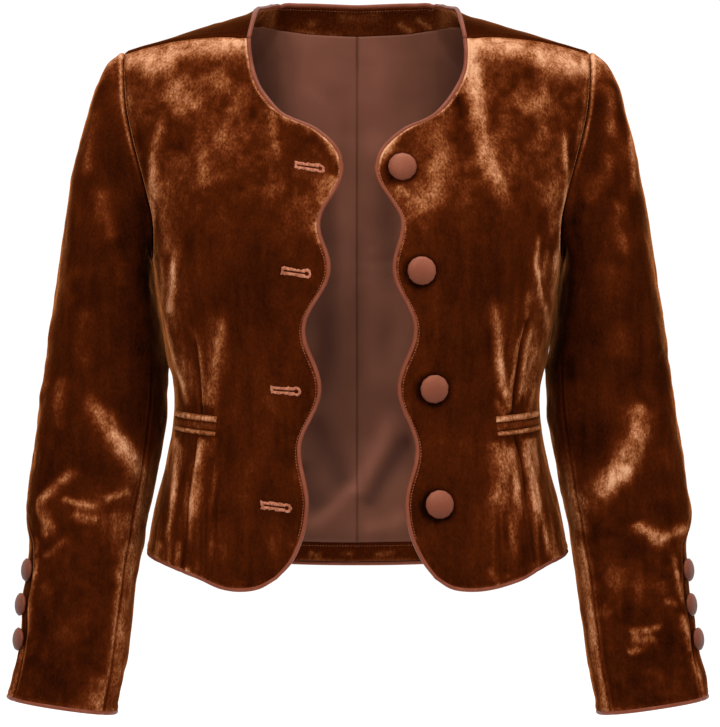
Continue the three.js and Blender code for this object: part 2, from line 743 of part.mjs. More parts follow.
// Sleeves: the angle runs from the front (0) over the outer side (90) to the back (180)
function sleeveRing(hand, turn, height) {
  const inner = tableAt(sleeveRows, 'height', height, 'inner');
  const outer = tableAt(sleeveRows, 'height', height, 'outer');
  const middle = tableAt(sleeveRows, 'height', height, 'middle');
  const depth = tableAt(sleeveRows, 'height', height, 'depth');
  const tilt = tableAt(sleeveRows, 'height', height, 'tilt');
  const reach = (outer - inner) / 2 * signedPower(Math.sin(turn), 2 / sleeveExponent);
  const out = depth * signedPower(Math.cos(turn), 2 / sleeveExponent);
  return new THREE.Vector3(hand * ((outer + inner) / 2 + reach), middle - out, height + tilt * reach);
}

function sleeveFoldRise(hand, turn, height) {
  let rise = 0;
  const outward = (1 + Math.sin(turn)) / 2;
  for (const fold of sleeveFolds) {
    if (fold.side !== hand) continue;
    const off = (height - lerp(fold.inner, fold.outer, outward)) / fold.width;
    const front = lerp(crumpleFloor, 1, Math.max(0, Math.cos(turn - crumpleTurn)));
    rise += fold.rise * Math.exp(-off * off) * front * Math.sqrt(outward);
  }
  return rise;
}

function armholeLoop(hand, turn) {
  const share = (Math.asin(Math.sin(turn)) + Math.PI / 2) / Math.PI;
  const side = Math.cos(turn) >= 0 ? -1 : 1;
  const place = armholePlace(hand, side, share);
  return torsoPoint(side, place.angle, place.level);
}

function sleeveShare(height) {
  const biceps = sleeveRows[0].height;
  const cuff = sleeveRows[sleeveRows.length - 1].height;
  return lerp(capSteps / sleeveSteps.along, 1, (height - biceps) / (cuff - biceps));
}

// share runs from the armhole (0) over the cap and down to the cuff (1)
function sleevePoint(hand, turn, share) {
  const biceps = sleeveRows[0].height;
  const cuff = sleeveRows[sleeveRows.length - 1].height;
  const capShare = capSteps / sleeveSteps.along;
  if (share > capShare) {
    const height = lerp(biceps, cuff, (share - capShare) / (1 - capShare));
    const point = sleeveRing(hand, turn, height);
    const axis = sleeveRing(hand, Math.PI / 2, height).add(sleeveRing(hand, -Math.PI / 2, height)).multiplyScalar(0.5);
    const outward = point.clone().sub(axis).normalize();
    return point.addScaledVector(outward, sleeveFoldRise(hand, turn, height));
  }
  const t = share / capShare;
  const top = tableAt(ridgeRows, 'across', capAxis.across, 'height');
  const middle = new THREE.Vector3(hand * capAxis.across, capAxis.out, (armpitLevel + top) / 2);
  const loop = armholeLoop(hand, turn);
  const start = loop.clone().add(middle.sub(loop).setX(0).setLength(capInset));
  start.x += hand * capOutset;
  const end = sleeveRing(hand, turn, biceps);
  const reach = start.distanceTo(end);
  const leave = new THREE.Vector3(hand, capLeave.out * Math.cos(turn), capLeave.up)
    .setLength(capReach * reach);
  const arrive = sleeveRing(hand, turn, biceps - 1).sub(end).normalize().multiplyScalar(reach);
  return start.multiplyScalar(2 * t ** 3 - 3 * t * t + 1)
    .addScaledVector(leave, t ** 3 - 2 * t * t + t)
    .addScaledVector(end, 3 * t * t - 2 * t ** 3)
    .addScaledVector(arrive, t ** 3 - t * t);
}

function sleeveNormal(hand, turn, share) {
  const reach = 0.02;
  const around = sleevePoint(hand, turn + reach, share).sub(sleevePoint(hand, turn - reach, share));
  const down = sleevePoint(hand, turn, Math.min(1, share + reach / 4))
    .sub(sleevePoint(hand, turn, Math.max(0, share - reach / 4)));
  return down.cross(around).multiplyScalar(hand).normalize();
}

function backSeamTurn(share) {
  const capShare = capSteps / sleeveSteps.along;
  const down = clamp((share - capShare) / (1 - capShare), 0, 1);
  const height = lerp(sleeveRows[0].height, sleeveRows[sleeveRows.length - 1].height, down);
  return degrees * tableAt(backSeamRows, 'height', height, 'angle');
}

function makeSleeve(hand, name) {
  const half = (piece, across, turnAt) => {
    const points = steps(sleeveSteps.along).map((t) => steps(across)
      .map((s) => sleevePoint(hand, turnAt(s, t), t)));
    const normals = steps(sleeveSteps.along).map((t) => steps(across)
      .map((s) => sleeveNormal(hand, turnAt(s, t), t)));
    const trims = { foot: 0, top: pipingTrim, start: seamTrim, end: seamTrim };
    addPiece(piece, wallGeometry(trimGrid(points, trims), normals, 0, -velvetWall), velvet);
    return { points: points[points.length - 1], normals: normals[normals.length - 1] };
  };
  const from = degrees * frontSeamAngle;
  const top = half(`sleeve_top_${name}`, sleeveSteps.top, (s, t) => lerp(from, backSeamTurn(t), s));
  const under = half(`sleeve_under_${name}`, sleeveSteps.under, (s, t) => (
    lerp(backSeamTurn(t), from + 2 * Math.PI, s)));
  const line = [...top.points.slice(0, -1), ...under.points.slice(0, -1)];
  const guide = [...top.normals.slice(0, -1), ...under.normals.slice(0, -1)];
  line.forEach((point, i) => point.addScaledVector(guide[i], -velvetWall / 2));
  addPiece(`piping_cuff_${name}`, tubeGeometry(line, pipingRadius, pipingSides, true, guide), trim);
}

// Covered buttons: a low dome on a short neck, turned about the cloth's normal
function buttonGeometry(radius, height, sides, point, normal) {
  const neck = radius * 0.4;
  const profile = [
    [0, seamGap], [neck, seamGap], [neck, buttonSeat], [radius * 0.9, buttonSeat],
    [radius, buttonSeat + height * 0.3], [radius * 0.7, buttonSeat + height * 0.85],
    [0, buttonSeat + height],
  ].map(([r, h]) => new THREE.Vector2(r, h));
  const geometry = new THREE.LatheGeometry(profile, sides);
  const turn = new THREE.Quaternion().setFromUnitVectors(new THREE.Vector3(0, 1, 0), normal);
  geometry.applyQuaternion(turn);
  geometry.translate(point.x, point.y, point.z);
  return geometry;
}

function frontFrame(hand, across, height) {
  const place = placeOf(hand * across, height);
  return { point: frontPoint(hand, place), normal: frontNormal(hand, place) };
}

function makeButtons() {
  frontButtons.forEach((row, i) => {
    const { point, normal } = frontFrame(1, row.across, row.height);
    const geometry = buttonGeometry(buttonRadius, buttonHeight, buttonSides, point, normal);
    addPiece(`front_button_${i + 1}`, geometry, buttonCloth);
  });
  for (const [hand, name] of [[-1, 'right'], [1, 'left']]) {
    cuffButtonHeights.forEach((height, i) => {
      const turn = degrees * cuffButtonAngle;
      const point = sleevePoint(hand, turn, sleeveShare(height));
      const normal = new THREE.Vector3(hand, cuffButtonTilt.out, cuffButtonTilt.up).normalize();
      point.addScaledVector(normal, seamGap);
      const geometry = buttonGeometry(cuffButtonRadius, cuffButtonHeight, cuffButtonSides, point, normal);
      addPiece(`cuff_button_${name}_${i + 1}`, geometry, buttonCloth);
    });
  }
}

// Worked buttonholes: a raised keyhole loop laid on the right front
function makeButtonholes() {
  buttonholes.forEach((row, i) => {
    const outline = (size, eye) => {
      const eyeAt = (buttonholeLength - keyholeWidth) / 2;
      const points = [[-size.length, -size.width], [eyeAt - eye, -size.width]];
      for (const turn of steps(6)) {
        const angle = lerp(-keyholeTurn, keyholeTurn, turn) * degrees;
        points.push([eyeAt + eye * Math.cos(angle), eye * Math.sin(angle)]);
      }
      points.push([eyeAt - eye, size.width], [-size.length, size.width]);
      return points;
    };
    const half = { length: buttonholeLength / 2, width: buttonholeWidth / 2 };
    const slit = { length: half.length - buttonholeBar, width: slitWidth / 2 };
    const outer = outline(half, keyholeWidth / 2);
    const inner = outline(slit, keyholeSlit / 2);
    const count = outer.length;
    const positions = [];
    const loops = [[outer, buttonholeWall], [inner, buttonholeWall], [inner, 0], [outer, 0]];
    for (const [loop, rise] of loops) {
      for (const [along, up] of loop) {
        const across = row.across - along;
        const { point, normal } = frontFrame(-1, across, row.height + up - row.fall * along);
        positions.push(...point.addScaledVector(normal, layGap + rise).toArray());
      }
    }
    const index = [];
    for (let ring = 0; ring < loops.length; ring += 1) {
      for (let k = 0; k < count; k += 1) {
        const next = (k + 1) % count;
        const other = (ring + 1) % loops.length;
        const a = ring * count + k;
        const b = ring * count + next;
        const c = other * count + next;
        const d = other * count + k;
        index.push(a, b, c, a, c, d);
      }
    }
    const geometry = new THREE.BufferGeometry();
    geometry.setAttribute('position', new THREE.Float32BufferAttribute(positions, 3));
    geometry.setIndex(index);
    addPiece(`buttonhole_${i + 1}`, geometry, buttonCloth);
  });
}

// Pockets: strips of velvet laid on each front at the waist
function makePockets() {
  for (const [hand, name] of [[-1, 'right'], [1, 'left']]) {
    for (const strip of pocketStrips) {
      const places = [strip.foot, strip.top].map((drop) => steps(pocketSteps).map((share) => ({
        angle: hand * degrees * lerp(pocketInnerAngle, pocketOuterAngle, share),
        level: lerp(pocketInnerLevel, pocketOuterLevel, share) + drop,
      })));
      const points = places.map((row) => row.map((at) => frontPoint(hand, at)));
      const normals = places.map((row) => row.map((at) => frontNormal(hand, at)));
      const lift = seamGap + layGap;
      const geometry = wallGeometry(points, normals, lift + strip.rise, lift);
      addPiece(`pocket_${strip.name}_${name}`, geometry, velvet);
    }
  }
}

makeFront(-1, 'right');
makeFront(1, 'left');
makeBack();
makeSleeve(-1, 'right');
makeSleeve(1, 'left');
makeButtons();
makeButtonholes();
makePockets();

export default blazer;
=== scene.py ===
import math

import bmesh
import bpy
import numpy as np
from mathutils import Matrix, Vector


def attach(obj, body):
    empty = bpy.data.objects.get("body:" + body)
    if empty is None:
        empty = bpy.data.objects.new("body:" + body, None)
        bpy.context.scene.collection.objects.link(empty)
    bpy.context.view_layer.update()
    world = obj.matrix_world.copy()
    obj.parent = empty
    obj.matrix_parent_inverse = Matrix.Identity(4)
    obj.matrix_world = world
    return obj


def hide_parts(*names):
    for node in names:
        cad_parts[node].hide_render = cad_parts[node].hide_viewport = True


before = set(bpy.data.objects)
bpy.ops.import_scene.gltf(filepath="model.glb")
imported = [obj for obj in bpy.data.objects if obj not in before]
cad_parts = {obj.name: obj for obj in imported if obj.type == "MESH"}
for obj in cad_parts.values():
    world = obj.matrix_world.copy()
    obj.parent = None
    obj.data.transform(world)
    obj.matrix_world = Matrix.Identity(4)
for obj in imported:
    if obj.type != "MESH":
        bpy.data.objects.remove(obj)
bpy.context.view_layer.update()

# A cropped velvet blazer in worn shape, dressed round its CAD model.
# Shapes are worked out in millimetres, as in the part's own source, and kept in metres.
# X runs across the body (wearer's right is -X), Y from front to back, Z up.
metres = 0.001
degrees = math.pi / 180


# Colours and nodes
def toLinear(hexColour):
    channels = [int(hexColour[i:i + 2], 16) / 255 for i in (1, 3, 5)]
    return [c / 12.92 if c <= 0.04045 else ((c + 0.055) / 1.055) ** 2.4 for c in channels] + [1.0]


def addNode(tree, kind, settings=None, links=None, stops=None):
    node = tree.nodes.new(kind)
    for name, value in (settings or {}).items():
        if isinstance(name, str) and name not in node.inputs:
            setattr(node, name, value)
        else:
            node.inputs[name].default_value = value
    for name, socket in (links or {}).items():
        tree.links.new(socket, node.inputs[name])
    if stops:
        ramp = node.color_ramp
        while len(ramp.elements) < len(stops):
            ramp.elements.new(0.5)
        for element, (position, colour) in zip(ramp.elements, stops):
            element.position = position
            element.color = toLinear(colour) if isinstance(colour, str) else [colour] * 3 + [1.0]
    return node


def newMaterial(name):
    material = bpy.data.materials.new(name)
    material.use_nodes = True
    material.node_tree.nodes.clear()
    return material, material.node_tree


# Camera: level, a little right of the middle, at the height of the ribs
camera = {"across": 2.5, "away": 3000, "height": -297.8, "lens": 176.85, "sensor": 36}

lens = bpy.data.cameras.new("camera")
lens.lens = camera["lens"]
lens.sensor_width = camera["sensor"]
lens.clip_end = 50
eye = bpy.data.objects.new("camera", lens)
eye.location = Vector((camera["across"], -camera["away"], camera["height"])) * metres
eye.rotation_euler = (math.pi / 2, 0, 0)
bpy.context.scene.collection.objects.link(eye)
bpy.context.scene.camera = eye

# Studio: pale floor, white surroundings, broad soft lamps
studio = {
    "floor": {"size": 14, "height": -0.82, "colour": "#fdfdfc"},
    "surroundings": 1.05,
    "lamps": [
        {"name": "key", "at": (-0.6, -2.4, 1.5), "size": 1.3, "watts": 55, "colour": "#fffaf4"},
        {"name": "fill", "at": (1.9, -1.9, 0.3), "size": 1.8, "watts": 14, "colour": "#fffdfa"},
        {"name": "top", "at": (0.1, -0.4, 1.7), "size": 1.2, "watts": 40, "colour": "#ffffff"},
    ],
}


def makeStudio():
    world = bpy.data.worlds.new("studio")
    bpy.context.scene.world = world
    world.use_nodes = True
    world.node_tree.nodes["Background"].inputs["Color"].default_value = (1, 1, 1, 1)
    world.node_tree.nodes["Background"].inputs["Strength"].default_value = studio["surroundings"]
    view = bpy.context.scene.view_settings
    view.view_transform = "Standard"
    view.look = "None"

    mesh = bpy.data.meshes.new("floor")
    form = bmesh.new()
    bmesh.ops.create_grid(form, x_segments=1, y_segments=1, size=studio["floor"]["size"] / 2)
    bmesh.ops.translate(form, verts=form.verts, vec=(0, 0, studio["floor"]["height"]))
    form.to_mesh(mesh)
    form.free()
    floor = bpy.data.objects.new("floor", mesh)
    bpy.context.scene.collection.objects.link(floor)
    material, tree = newMaterial("pale matt floor")
    spot = addNode(tree, "ShaderNodeTexCoord")
    drift = addNode(tree, "ShaderNodeTexNoise", {"Scale": 1.5, "Detail": 2.0}, {"Vector": spot.outputs["Object"]})
    tone = addNode(tree, "ShaderNodeValToRGB", stops=[(0.3, studio["floor"]["colour"]), (0.7, "#ffffff")],
                   links={"Fac": drift.outputs["Fac"]})
    paint = addNode(tree, "ShaderNodeBsdfPrincipled", {"Roughness": 0.9, "Specular IOR Level": 0.1},
                    {"Base Color": tone.outputs["Color"]})
    addNode(tree, "ShaderNodeOutputMaterial", links={"Surface": paint.outputs["BSDF"]})
    mesh.materials.append(material)

    for lamp in studio["lamps"]:
        light = bpy.data.lights.new(lamp["name"], "AREA")
        light.shape = "SQUARE"
        light.size = lamp["size"]
        light.energy = lamp["watts"]
        light.color = toLinear(lamp["colour"])[:3]
        body = bpy.data.objects.new(lamp["name"], light)
        body.location = lamp["at"]
        aim = Vector((0, 0, -0.3)) - Vector(lamp["at"])
        body.rotation_euler = aim.to_track_quat("-Z", "Y").to_euler()
        bpy.context.scene.collection.objects.link(body)


# Materials
# Cotton velvet, cut pile, crushed by wear: dark where the pile faces out, pale where it leans or is pressed; its tone
# is read from a per-point value that also carries painted highlights and painted shade
velvetLook = {
    "tones": [(0.0, "#0d0301"), (0.2, "#270b02"), (0.32, "#341103"), (0.45, "#491e0a"), (0.6, "#66381c"),
              (0.76, "#835338"), (0.9, "#986a4c"), (1.0, "#a67a5c")],
    "driftMm": 30, "drift": 0.28,
    "crushMm": 5.4, "crush": 0.52,
    "pileMm": 1.8, "pile": 0.9,  # real pile tufts are about 0.4 mm, drawn coarser to show
    "stretch": 0.62,
    # how strongly the noises show where the cloth is drawn dark, and how they grow as it is drawn paler
    "calm": 0.3, "rough": 0.85, "grow": 1.9, "from": 0.15,
    "bumpMm": 0.4, "roughness": 0.8, "sheenRoughness": 0.3, "sheenTint": "#d07c44",
    # the pile shows its pale sides where the cloth turns away
    "rim": 0.9, "rimPower": 3.0,
}
# Polyester satin: smooth warp floats give a soft even gloss, with drag folds
liningLook = {
    "tones": [(0.0, "#23110c"), (0.3, "#3f231c"), (0.55, "#583528"), (0.8, "#704538"), (1.0, "#835242")],
    "streakMm": 26, "streak": 0.16, "weaveMm": 1.0,  # real satin threads are about 0.1 mm, drawn coarser to show
    "weave": 0.05, "roughness": 0.46, "bumpMm": 0.02, "middle": 0.5,
}
pipingLook = {
    "tones": [(0.0, "#38170e"), (0.5, "#5e2f21"), (1.0, "#7f4a3a")],
    "streakMm": 9, "streak": 0.4, "weaveMm": 0.8, "weave": 0.2, "roughness": 0.4, "bumpMm": 0.05, "middle": 0.5,
}
buttonLook = {
    "tones": [(0.0, "#3a1b12"), (0.5, "#5c3022"), (1.0, "#784636")],
    "streakMm": 12, "streak": 0.3, "weaveMm": 0.9, "weave": 0.34, "roughness": 0.42, "bumpMm": 0.05,
    "middle": 0.5,
}
threadLook = {
    "tones": [(0.0, "#34140c"), (0.35, "#6c3a28"), (0.6, "#8f5a44"), (1.0, "#ac7c64")],
    "streakMm": 2.2, "streak": 0.9, "weaveMm": 0.6, "weave": 0.5, "roughness": 0.6, "bumpMm": 0.12, "middle": 0.5,
}


def velvetMaterial(name, look):
    material, tree = newMaterial(name)
    spot = addNode(tree, "ShaderNodeTexCoord").outputs["Object"]
    spot = addNode(tree, "ShaderNodeMapping", {"Scale": (1.0, 1.0, look["stretch"])},
                   {"Vector": spot}).outputs["Vector"]
    # The per-point value holds the pale of the pressed pile together with painted highlights and painted shade
    pileAndPaintedLight = addNode(tree, "ShaderNodeAttribute", {"attribute_name": "pileAndPaintedLight"}).outputs["Fac"]
    gain = addNode(tree, "ShaderNodeMath", {"operation": "MULTIPLY_ADD", 1: look["grow"],
                                            2: -look["from"] * look["grow"]}, {0: pileAndPaintedLight})
    gain = addNode(tree, "ShaderNodeClamp", {"Min": look["calm"], "Max": look["rough"]},
                   {"Value": gain.outputs["Value"]})
    drift = addNode(tree, "ShaderNodeTexNoise", {
        "Scale": 1000 / look["driftMm"], "Detail": 2.0, "Roughness": 0.5, "Distortion": 0.9}, {"Vector": spot})
    crush = addNode(tree, "ShaderNodeTexNoise", {
        "Scale": 1000 / look["crushMm"], "Detail": 5.0, "Roughness": 0.7, "Distortion": 2.6}, {"Vector": spot})
    pile = addNode(tree, "ShaderNodeTexNoise", {
        "Scale": 1000 / look["pileMm"], "Detail": 2.0, "Roughness": 0.7}, {"Vector": spot})
    total = None
    for layer, amount in ((drift, look["drift"]), (crush, look["crush"]), (pile, look["pile"])):
        settings = {"operation": "MULTIPLY_ADD", 1: amount, 2: -amount / 2}
        part = addNode(tree, "ShaderNodeMath", settings, {0: layer.outputs["Fac"]}).outputs["Value"]
        total = part if total is None else addNode(
            tree, "ShaderNodeMath", {"operation": "ADD"}, {0: total, 1: part}).outputs["Value"]
    total = addNode(tree, "ShaderNodeMath", {"operation": "MULTIPLY_ADD"},
                    {0: total, 1: gain.outputs["Result"], 2: pileAndPaintedLight})
    tone = addNode(tree, "ShaderNodeValToRGB", stops=look["tones"], links={"Fac": total.outputs["Value"]})
    high = addNode(tree, "ShaderNodeMath", {"operation": "MULTIPLY_ADD", 1: 0.6},
                   {0: crush.outputs["Fac"], 2: pile.outputs["Fac"]})
    bump = addNode(tree, "ShaderNodeBump", {"Strength": 1.0, "Distance": look["bumpMm"] * metres},
                   {"Height": high.outputs["Value"]})
    away = addNode(tree, "ShaderNodeLayerWeight", {"Blend": 0.5}).outputs["Facing"]
    away = addNode(tree, "ShaderNodeMath", {"operation": "POWER", 1: look["rimPower"]}, {0: away})
    away = addNode(tree, "ShaderNodeMath", {"operation": "MULTIPLY", 1: look["rim"]}, {0: away.outputs["Value"]})
    cloth = addNode(tree, "ShaderNodeBsdfPrincipled", {
        "Roughness": look["roughness"], "Specular IOR Level": 0.0,
        "Sheen Roughness": look["sheenRoughness"], "Sheen Tint": toLinear(look["sheenTint"])},
        {"Base Color": tone.outputs["Color"], "Normal": bump.outputs["Normal"],
         "Sheen Weight": away.outputs["Value"]})
    addNode(tree, "ShaderNodeOutputMaterial", links={"Surface": cloth.outputs["BSDF"]})
    return material


# Painted satins take their shade from a per-point attribute of painted highlights and painted shade, the others lie at
# the middle
def satinMaterial(name, look, painted=False):
    material, tree = newMaterial(name)
    spot = addNode(tree, "ShaderNodeTexCoord").outputs["Object"]
    stretch = addNode(tree, "ShaderNodeMapping", {"Scale": (1.0, 1.0, 0.3)}, {"Vector": spot})
    streak = addNode(tree, "ShaderNodeTexNoise", {
        "Scale": 1000 / look["streakMm"], "Detail": 2.0, "Roughness": 0.5, "Distortion": 0.4},
        {"Vector": stretch.outputs["Vector"]})
    weave = addNode(tree, "ShaderNodeTexNoise", {
        "Scale": 1000 / look["weaveMm"], "Detail": 1.0, "Roughness": 0.5}, {"Vector": spot})
    middle = look["middle"] - (look["streak"] + look["weave"]) / 2
    mixed = addNode(tree, "ShaderNodeMath", {"operation": "MULTIPLY_ADD", 1: look["streak"], 2: middle},
                    {0: streak.outputs["Fac"]})
    mixed = addNode(tree, "ShaderNodeMath", {"operation": "MULTIPLY_ADD", 1: look["weave"]},
                    {0: weave.outputs["Fac"], 2: mixed.outputs["Value"]})
    if painted:
        pileAndPaintedLight = addNode(tree, "ShaderNodeAttribute", {"attribute_name": "pileAndPaintedLight"})
        mixed = addNode(tree, "ShaderNodeMath", {"operation": "ADD"},
                        {0: mixed.outputs["Value"], 1: pileAndPaintedLight.outputs["Fac"]})
    tone = addNode(tree, "ShaderNodeValToRGB", stops=look["tones"], links={"Fac": mixed.outputs["Value"]})
    bump = addNode(tree, "ShaderNodeBump", {"Strength": 1.0, "Distance": look["bumpMm"] * metres},
                   {"Height": weave.outputs["Fac"]})
    cloth = addNode(tree, "ShaderNodeBsdfPrincipled", {
        "Roughness": look["roughness"], "Specular IOR Level": 0.16, "Specular Tint": toLinear("#f0b898")},
        {"Base Color": tone.outputs["Color"], "Normal": bump.outputs["Normal"]})
    addNode(tree, "ShaderNodeOutputMaterial", links={"Surface": cloth.outputs["BSDF"]})
    return material


# Torso form, as in the part's source
torso = {
    "exponent": 2.4, "domeHeight": 40, "domeBase": -50, "rampFrom": -210,
    # level, half width, front depth, back depth
    "rows": [
        (-485, 178, 112, 100), (-446, 174.5, 110, 97), (-416, 169, 108, 94), (-386, 161, 106, 88),
        (-355, 155, 104, 83), (-325, 153, 105, 82), (-295, 157, 109, 85), (-243, 166, 116, 93),
        (-210, 171, 114, 98), (-170, 179, 103, 100), (-130, 188, 88, 98), (-90, 197, 71, 90),
        (-50, 204, 56, 78), (13, 207, 50, 68)],
    # across, height of the shoulder ridge
    "ridge": [
        (0, 29), (50, 30), (68, 27), (78, 8), (88, -3), (107, -9.3), (128, -16), (150, -22.7),
        (174, -29.4), (194, -36), (210, -41)],
}
ridgeLevel = torso["domeBase"] + torso["domeHeight"] * math.pi / 2


def readTable(rows, at, column=1):
    rows = sorted(rows)
    keys = np.array([row[0] for row in rows], float)
    values = np.array([row[column] for row in rows], float)
    before = np.maximum(np.arange(len(keys)) - 1, 0)
    after = np.minimum(np.arange(len(keys)) + 1, len(keys) - 1)
    slopes = (values[after] - values[before]) / (keys[after] - keys[before])
    at = np.clip(np.asarray(at, float), keys[0], keys[-1])
    i = np.clip(np.searchsorted(keys, at, "right") - 1, 0, len(keys) - 2)
    step = keys[i + 1] - keys[i]
    t = (at - keys[i]) / step
    return ((2 * t ** 3 - 3 * t * t + 1) * values[i] + (t ** 3 - 2 * t * t + t) * step * slopes[i]
            + (3 * t * t - 2 * t ** 3) * values[i + 1] + (t ** 3 - t * t) * step * slopes[i + 1])


def smoothStep(value, low, high):
    t = np.clip((value - low) / (high - low), 0, 1)
    return t * t * (3 - 2 * t)


def signedPower(value, power):
    return np.sign(value) * np.abs(value) ** power


def heightAt(across, level):
    ridge = readTable(torso["ridge"], np.abs(across))
    ramp = smoothStep(level, torso["rampFrom"], torso["domeBase"])
    low = level + ramp * (ridge - torso["domeBase"] - torso["domeHeight"])
    turn = (np.maximum(level, torso["domeBase"]) - torso["domeBase"]) / torso["domeHeight"]
    high = ridge - torso["domeHeight"] * (1 - np.sin(turn))
    return np.where(level <= torso["domeBase"], low, high)


def angleAt(across, level):
    half = readTable(torso["rows"], level, 1)
    share = np.minimum(1, (np.abs(across) / half) ** (torso["exponent"] / 2))
    return np.sign(across) * np.arcsin(share)


def placeOf(across, height):
    low = np.full(np.shape(across), -600.0)
    high = np.full(np.shape(across), ridgeLevel)
    for _ in range(44):
        middle = (low + high) / 2
        under = heightAt(across, middle) < height
        low, high = np.where(under, middle, low), np.where(under, high, middle)
    level = (low + high) / 2
    return np.stack([angleAt(across, level), level], -1)


# Side is -1 in front and 1 behind; past the ridge the surface goes on down the other side
def torsoPoint(side, place):
    angle, level = place[..., 0], place[..., 1]
    over = level > ridgeLevel
    side = np.where(over, -side, side)
    level = np.where(over, 2 * ridgeLevel - level, level)
    half = readTable(torso["rows"], level, 1)
    depth = np.where(side < 0, readTable(torso["rows"], level, 2), readTable(torso["rows"], level, 3))
    across = half * signedPower(np.sin(angle), 2 / torso["exponent"])
    turn = (np.maximum(level, torso["domeBase"]) - torso["domeBase"]) / torso["domeHeight"]
    out = side * depth * np.cos(turn) * np.abs(np.cos(angle)) ** (2 / torso["exponent"])
    return np.stack([across, out, heightAt(across, level)], -1)


def unit(vectors):
    return vectors / np.maximum(np.linalg.norm(vectors, axis=-1, keepdims=True), 1e-9)


def torsoNormal(side, place):
    reach = 1e-3
    limit = math.pi / 2 - 2 * reach
    angle, level = np.clip(place[..., 0], -limit, limit), place[..., 1]
    along = (torsoPoint(side, np.stack([angle + reach, level], -1))
             - torsoPoint(side, np.stack([angle - reach, level], -1)))
    up = (torsoPoint(side, np.stack([angle, level + 1], -1))
          - torsoPoint(side, np.stack([angle, level - 1], -1)))
    return unit(np.cross(along, up) * -side)


# A smooth line through points, read by its share of length
def smoothLine(points, shares):
    points = np.array(points, float)
    full = np.vstack([2 * points[0] - points[1], points, 2 * points[-1] - points[-2]])
    gaps = np.linalg.norm(np.diff(full, axis=0), axis=1) ** 0.5
    fine = []
    for i in range(1, len(full) - 2):
        d0, d1, d2 = gaps[i - 1:i + 2]
        p0, p1, p2, p3 = full[i - 1:i + 3]
        leave = ((p1 - p0) / d0 - (p2 - p0) / (d0 + d1) + (p2 - p1) / d1) * d1
        arrive = ((p2 - p1) / d1 - (p3 - p1) / (d1 + d2) + (p3 - p2) / d2) * d1
        t = np.linspace(0, 1, 60)[:, None]
        fine.append((2 * t ** 3 - 3 * t * t + 1) * p1 + (t ** 3 - 2 * t * t + t) * leave
                    + (3 * t * t - 2 * t ** 3) * p2 + (t ** 3 - t * t) * arrive)
    fine = np.vstack(fine)
    runs = np.concatenate([[0], np.cumsum(np.linalg.norm(np.diff(fine, axis=0), axis=1))])
    at = np.clip(shares, 0, 1) * runs[-1]
    return np.stack([np.interp(at, runs, fine[:, k]) for k in range(points.shape[1])], -1)


# Joins lines of places end to end; each takes its share of the whole
def joinLines(parts, shares):
    places = np.zeros(np.shape(shares) + (2,))
    start = 0.0
    for index, (share, line) in enumerate(parts):
        last = index == len(parts) - 1
        used = (shares >= start - 1e-12) & ((shares <= start + share + 1e-12) | last)
        places[used] = line(np.clip((shares[used] - start) / share, 0, 1))
        start += share
    return places


def blendPatch(foot, top, start, end, near, high):
    near, high = near[None, :, None], high[:, None, None]
    foot, top, start, end = foot[None], top[None], start[:, None], end[:, None]
    low = 1 - high
    return (low * foot + high * top + near * start + (1 - near) * end
            - near * low * foot[:, :1] - (1 - near) * low * foot[:, -1:]
            - near * high * top[:, :1] - (1 - near) * high * top[:, -1:])


# Unevenness of the cloth
def softNoise(points, size, seed):
    spot = points / size
    cell = np.floor(spot).astype(np.int64)
    t = spot - cell
    t = t * t * (3 - 2 * t)
    total = np.zeros(points.shape[:-1])
    for corner in range(8):
        step = np.array([corner & 1, corner >> 1 & 1, corner >> 2 & 1])
        x, y, z = np.moveaxis(cell + step, -1, 0)
        mixed = (x * 73856093) ^ (y * 19349663) ^ (z * 83492791) ^ (seed * 2654435761)
        mixed = (mixed ^ (mixed >> 13)) * 1274126177 & 0xffffffff
        value = ((mixed ^ (mixed >> 16)) & 0xffff) / 32767.5 - 1
        total += value * np.prod(np.where(step == 1, t, 1 - t), axis=-1)
    return total


# Folds: (width, rise, how much paler the cloth is drawn there: pressed pile with a painted highlight on the ridge,
# painted shade where it is below zero, line in a flat map of the panel[, fading of both ends])
def foldField(folds, across, up):
    rise = np.zeros(across.shape)
    pileAndPaintedLight = np.zeros(across.shape)
    spot = np.stack([across, up], -1)
    for width, height, pale, points, *ends in folds:
        line = np.array(points, float)
        lengths = np.linalg.norm(np.diff(line, axis=0), axis=1)
        best = np.full(across.shape, 1e9)
        share = np.zeros(across.shape)
        run = 0.0
        for start, end, length in zip(line[:-1], line[1:], lengths):
            way = (end - start) / length
            along = np.clip((spot - start) @ way, 0, length)
            distance = np.linalg.norm(spot - start - along[..., None] * way, axis=-1)
            nearer = distance < best
            best = np.where(nearer, distance, best)
            share = np.where(nearer, (run + along) / lengths.sum(), share)
            run += length
        first, last = ends[0] if ends else (0.18, 0.18)
        fade = smoothStep(share, 0, first) if first else 1.0
        fade = fade * (1 - smoothStep(share, 1 - last, 1)) if last else fade
        form = np.exp(-(best / width) ** 2) * fade
        rise += height * form
        pileAndPaintedLight += pale * form
    return rise, pileAndPaintedLight


# The pale of a fold, pressed pile and painted highlight together, is never even: the pile breaks it up
def brokenPile(points):
    flat = points * np.array([1, 1, 0.6])
    return 0.95 + 0.22 * softNoise(flat, 9, 5) + 0.34 * softNoise(flat, 4.2, 6)


# The pile lies in soft streaks up and down the cloth
def pileStreaks(points, seed):
    drawn = points * np.array([1, 1, 0.18])
    return 0.055 * softNoise(drawn, 8, seed) + 0.04 * softNoise(drawn, 3.6, seed + 1)


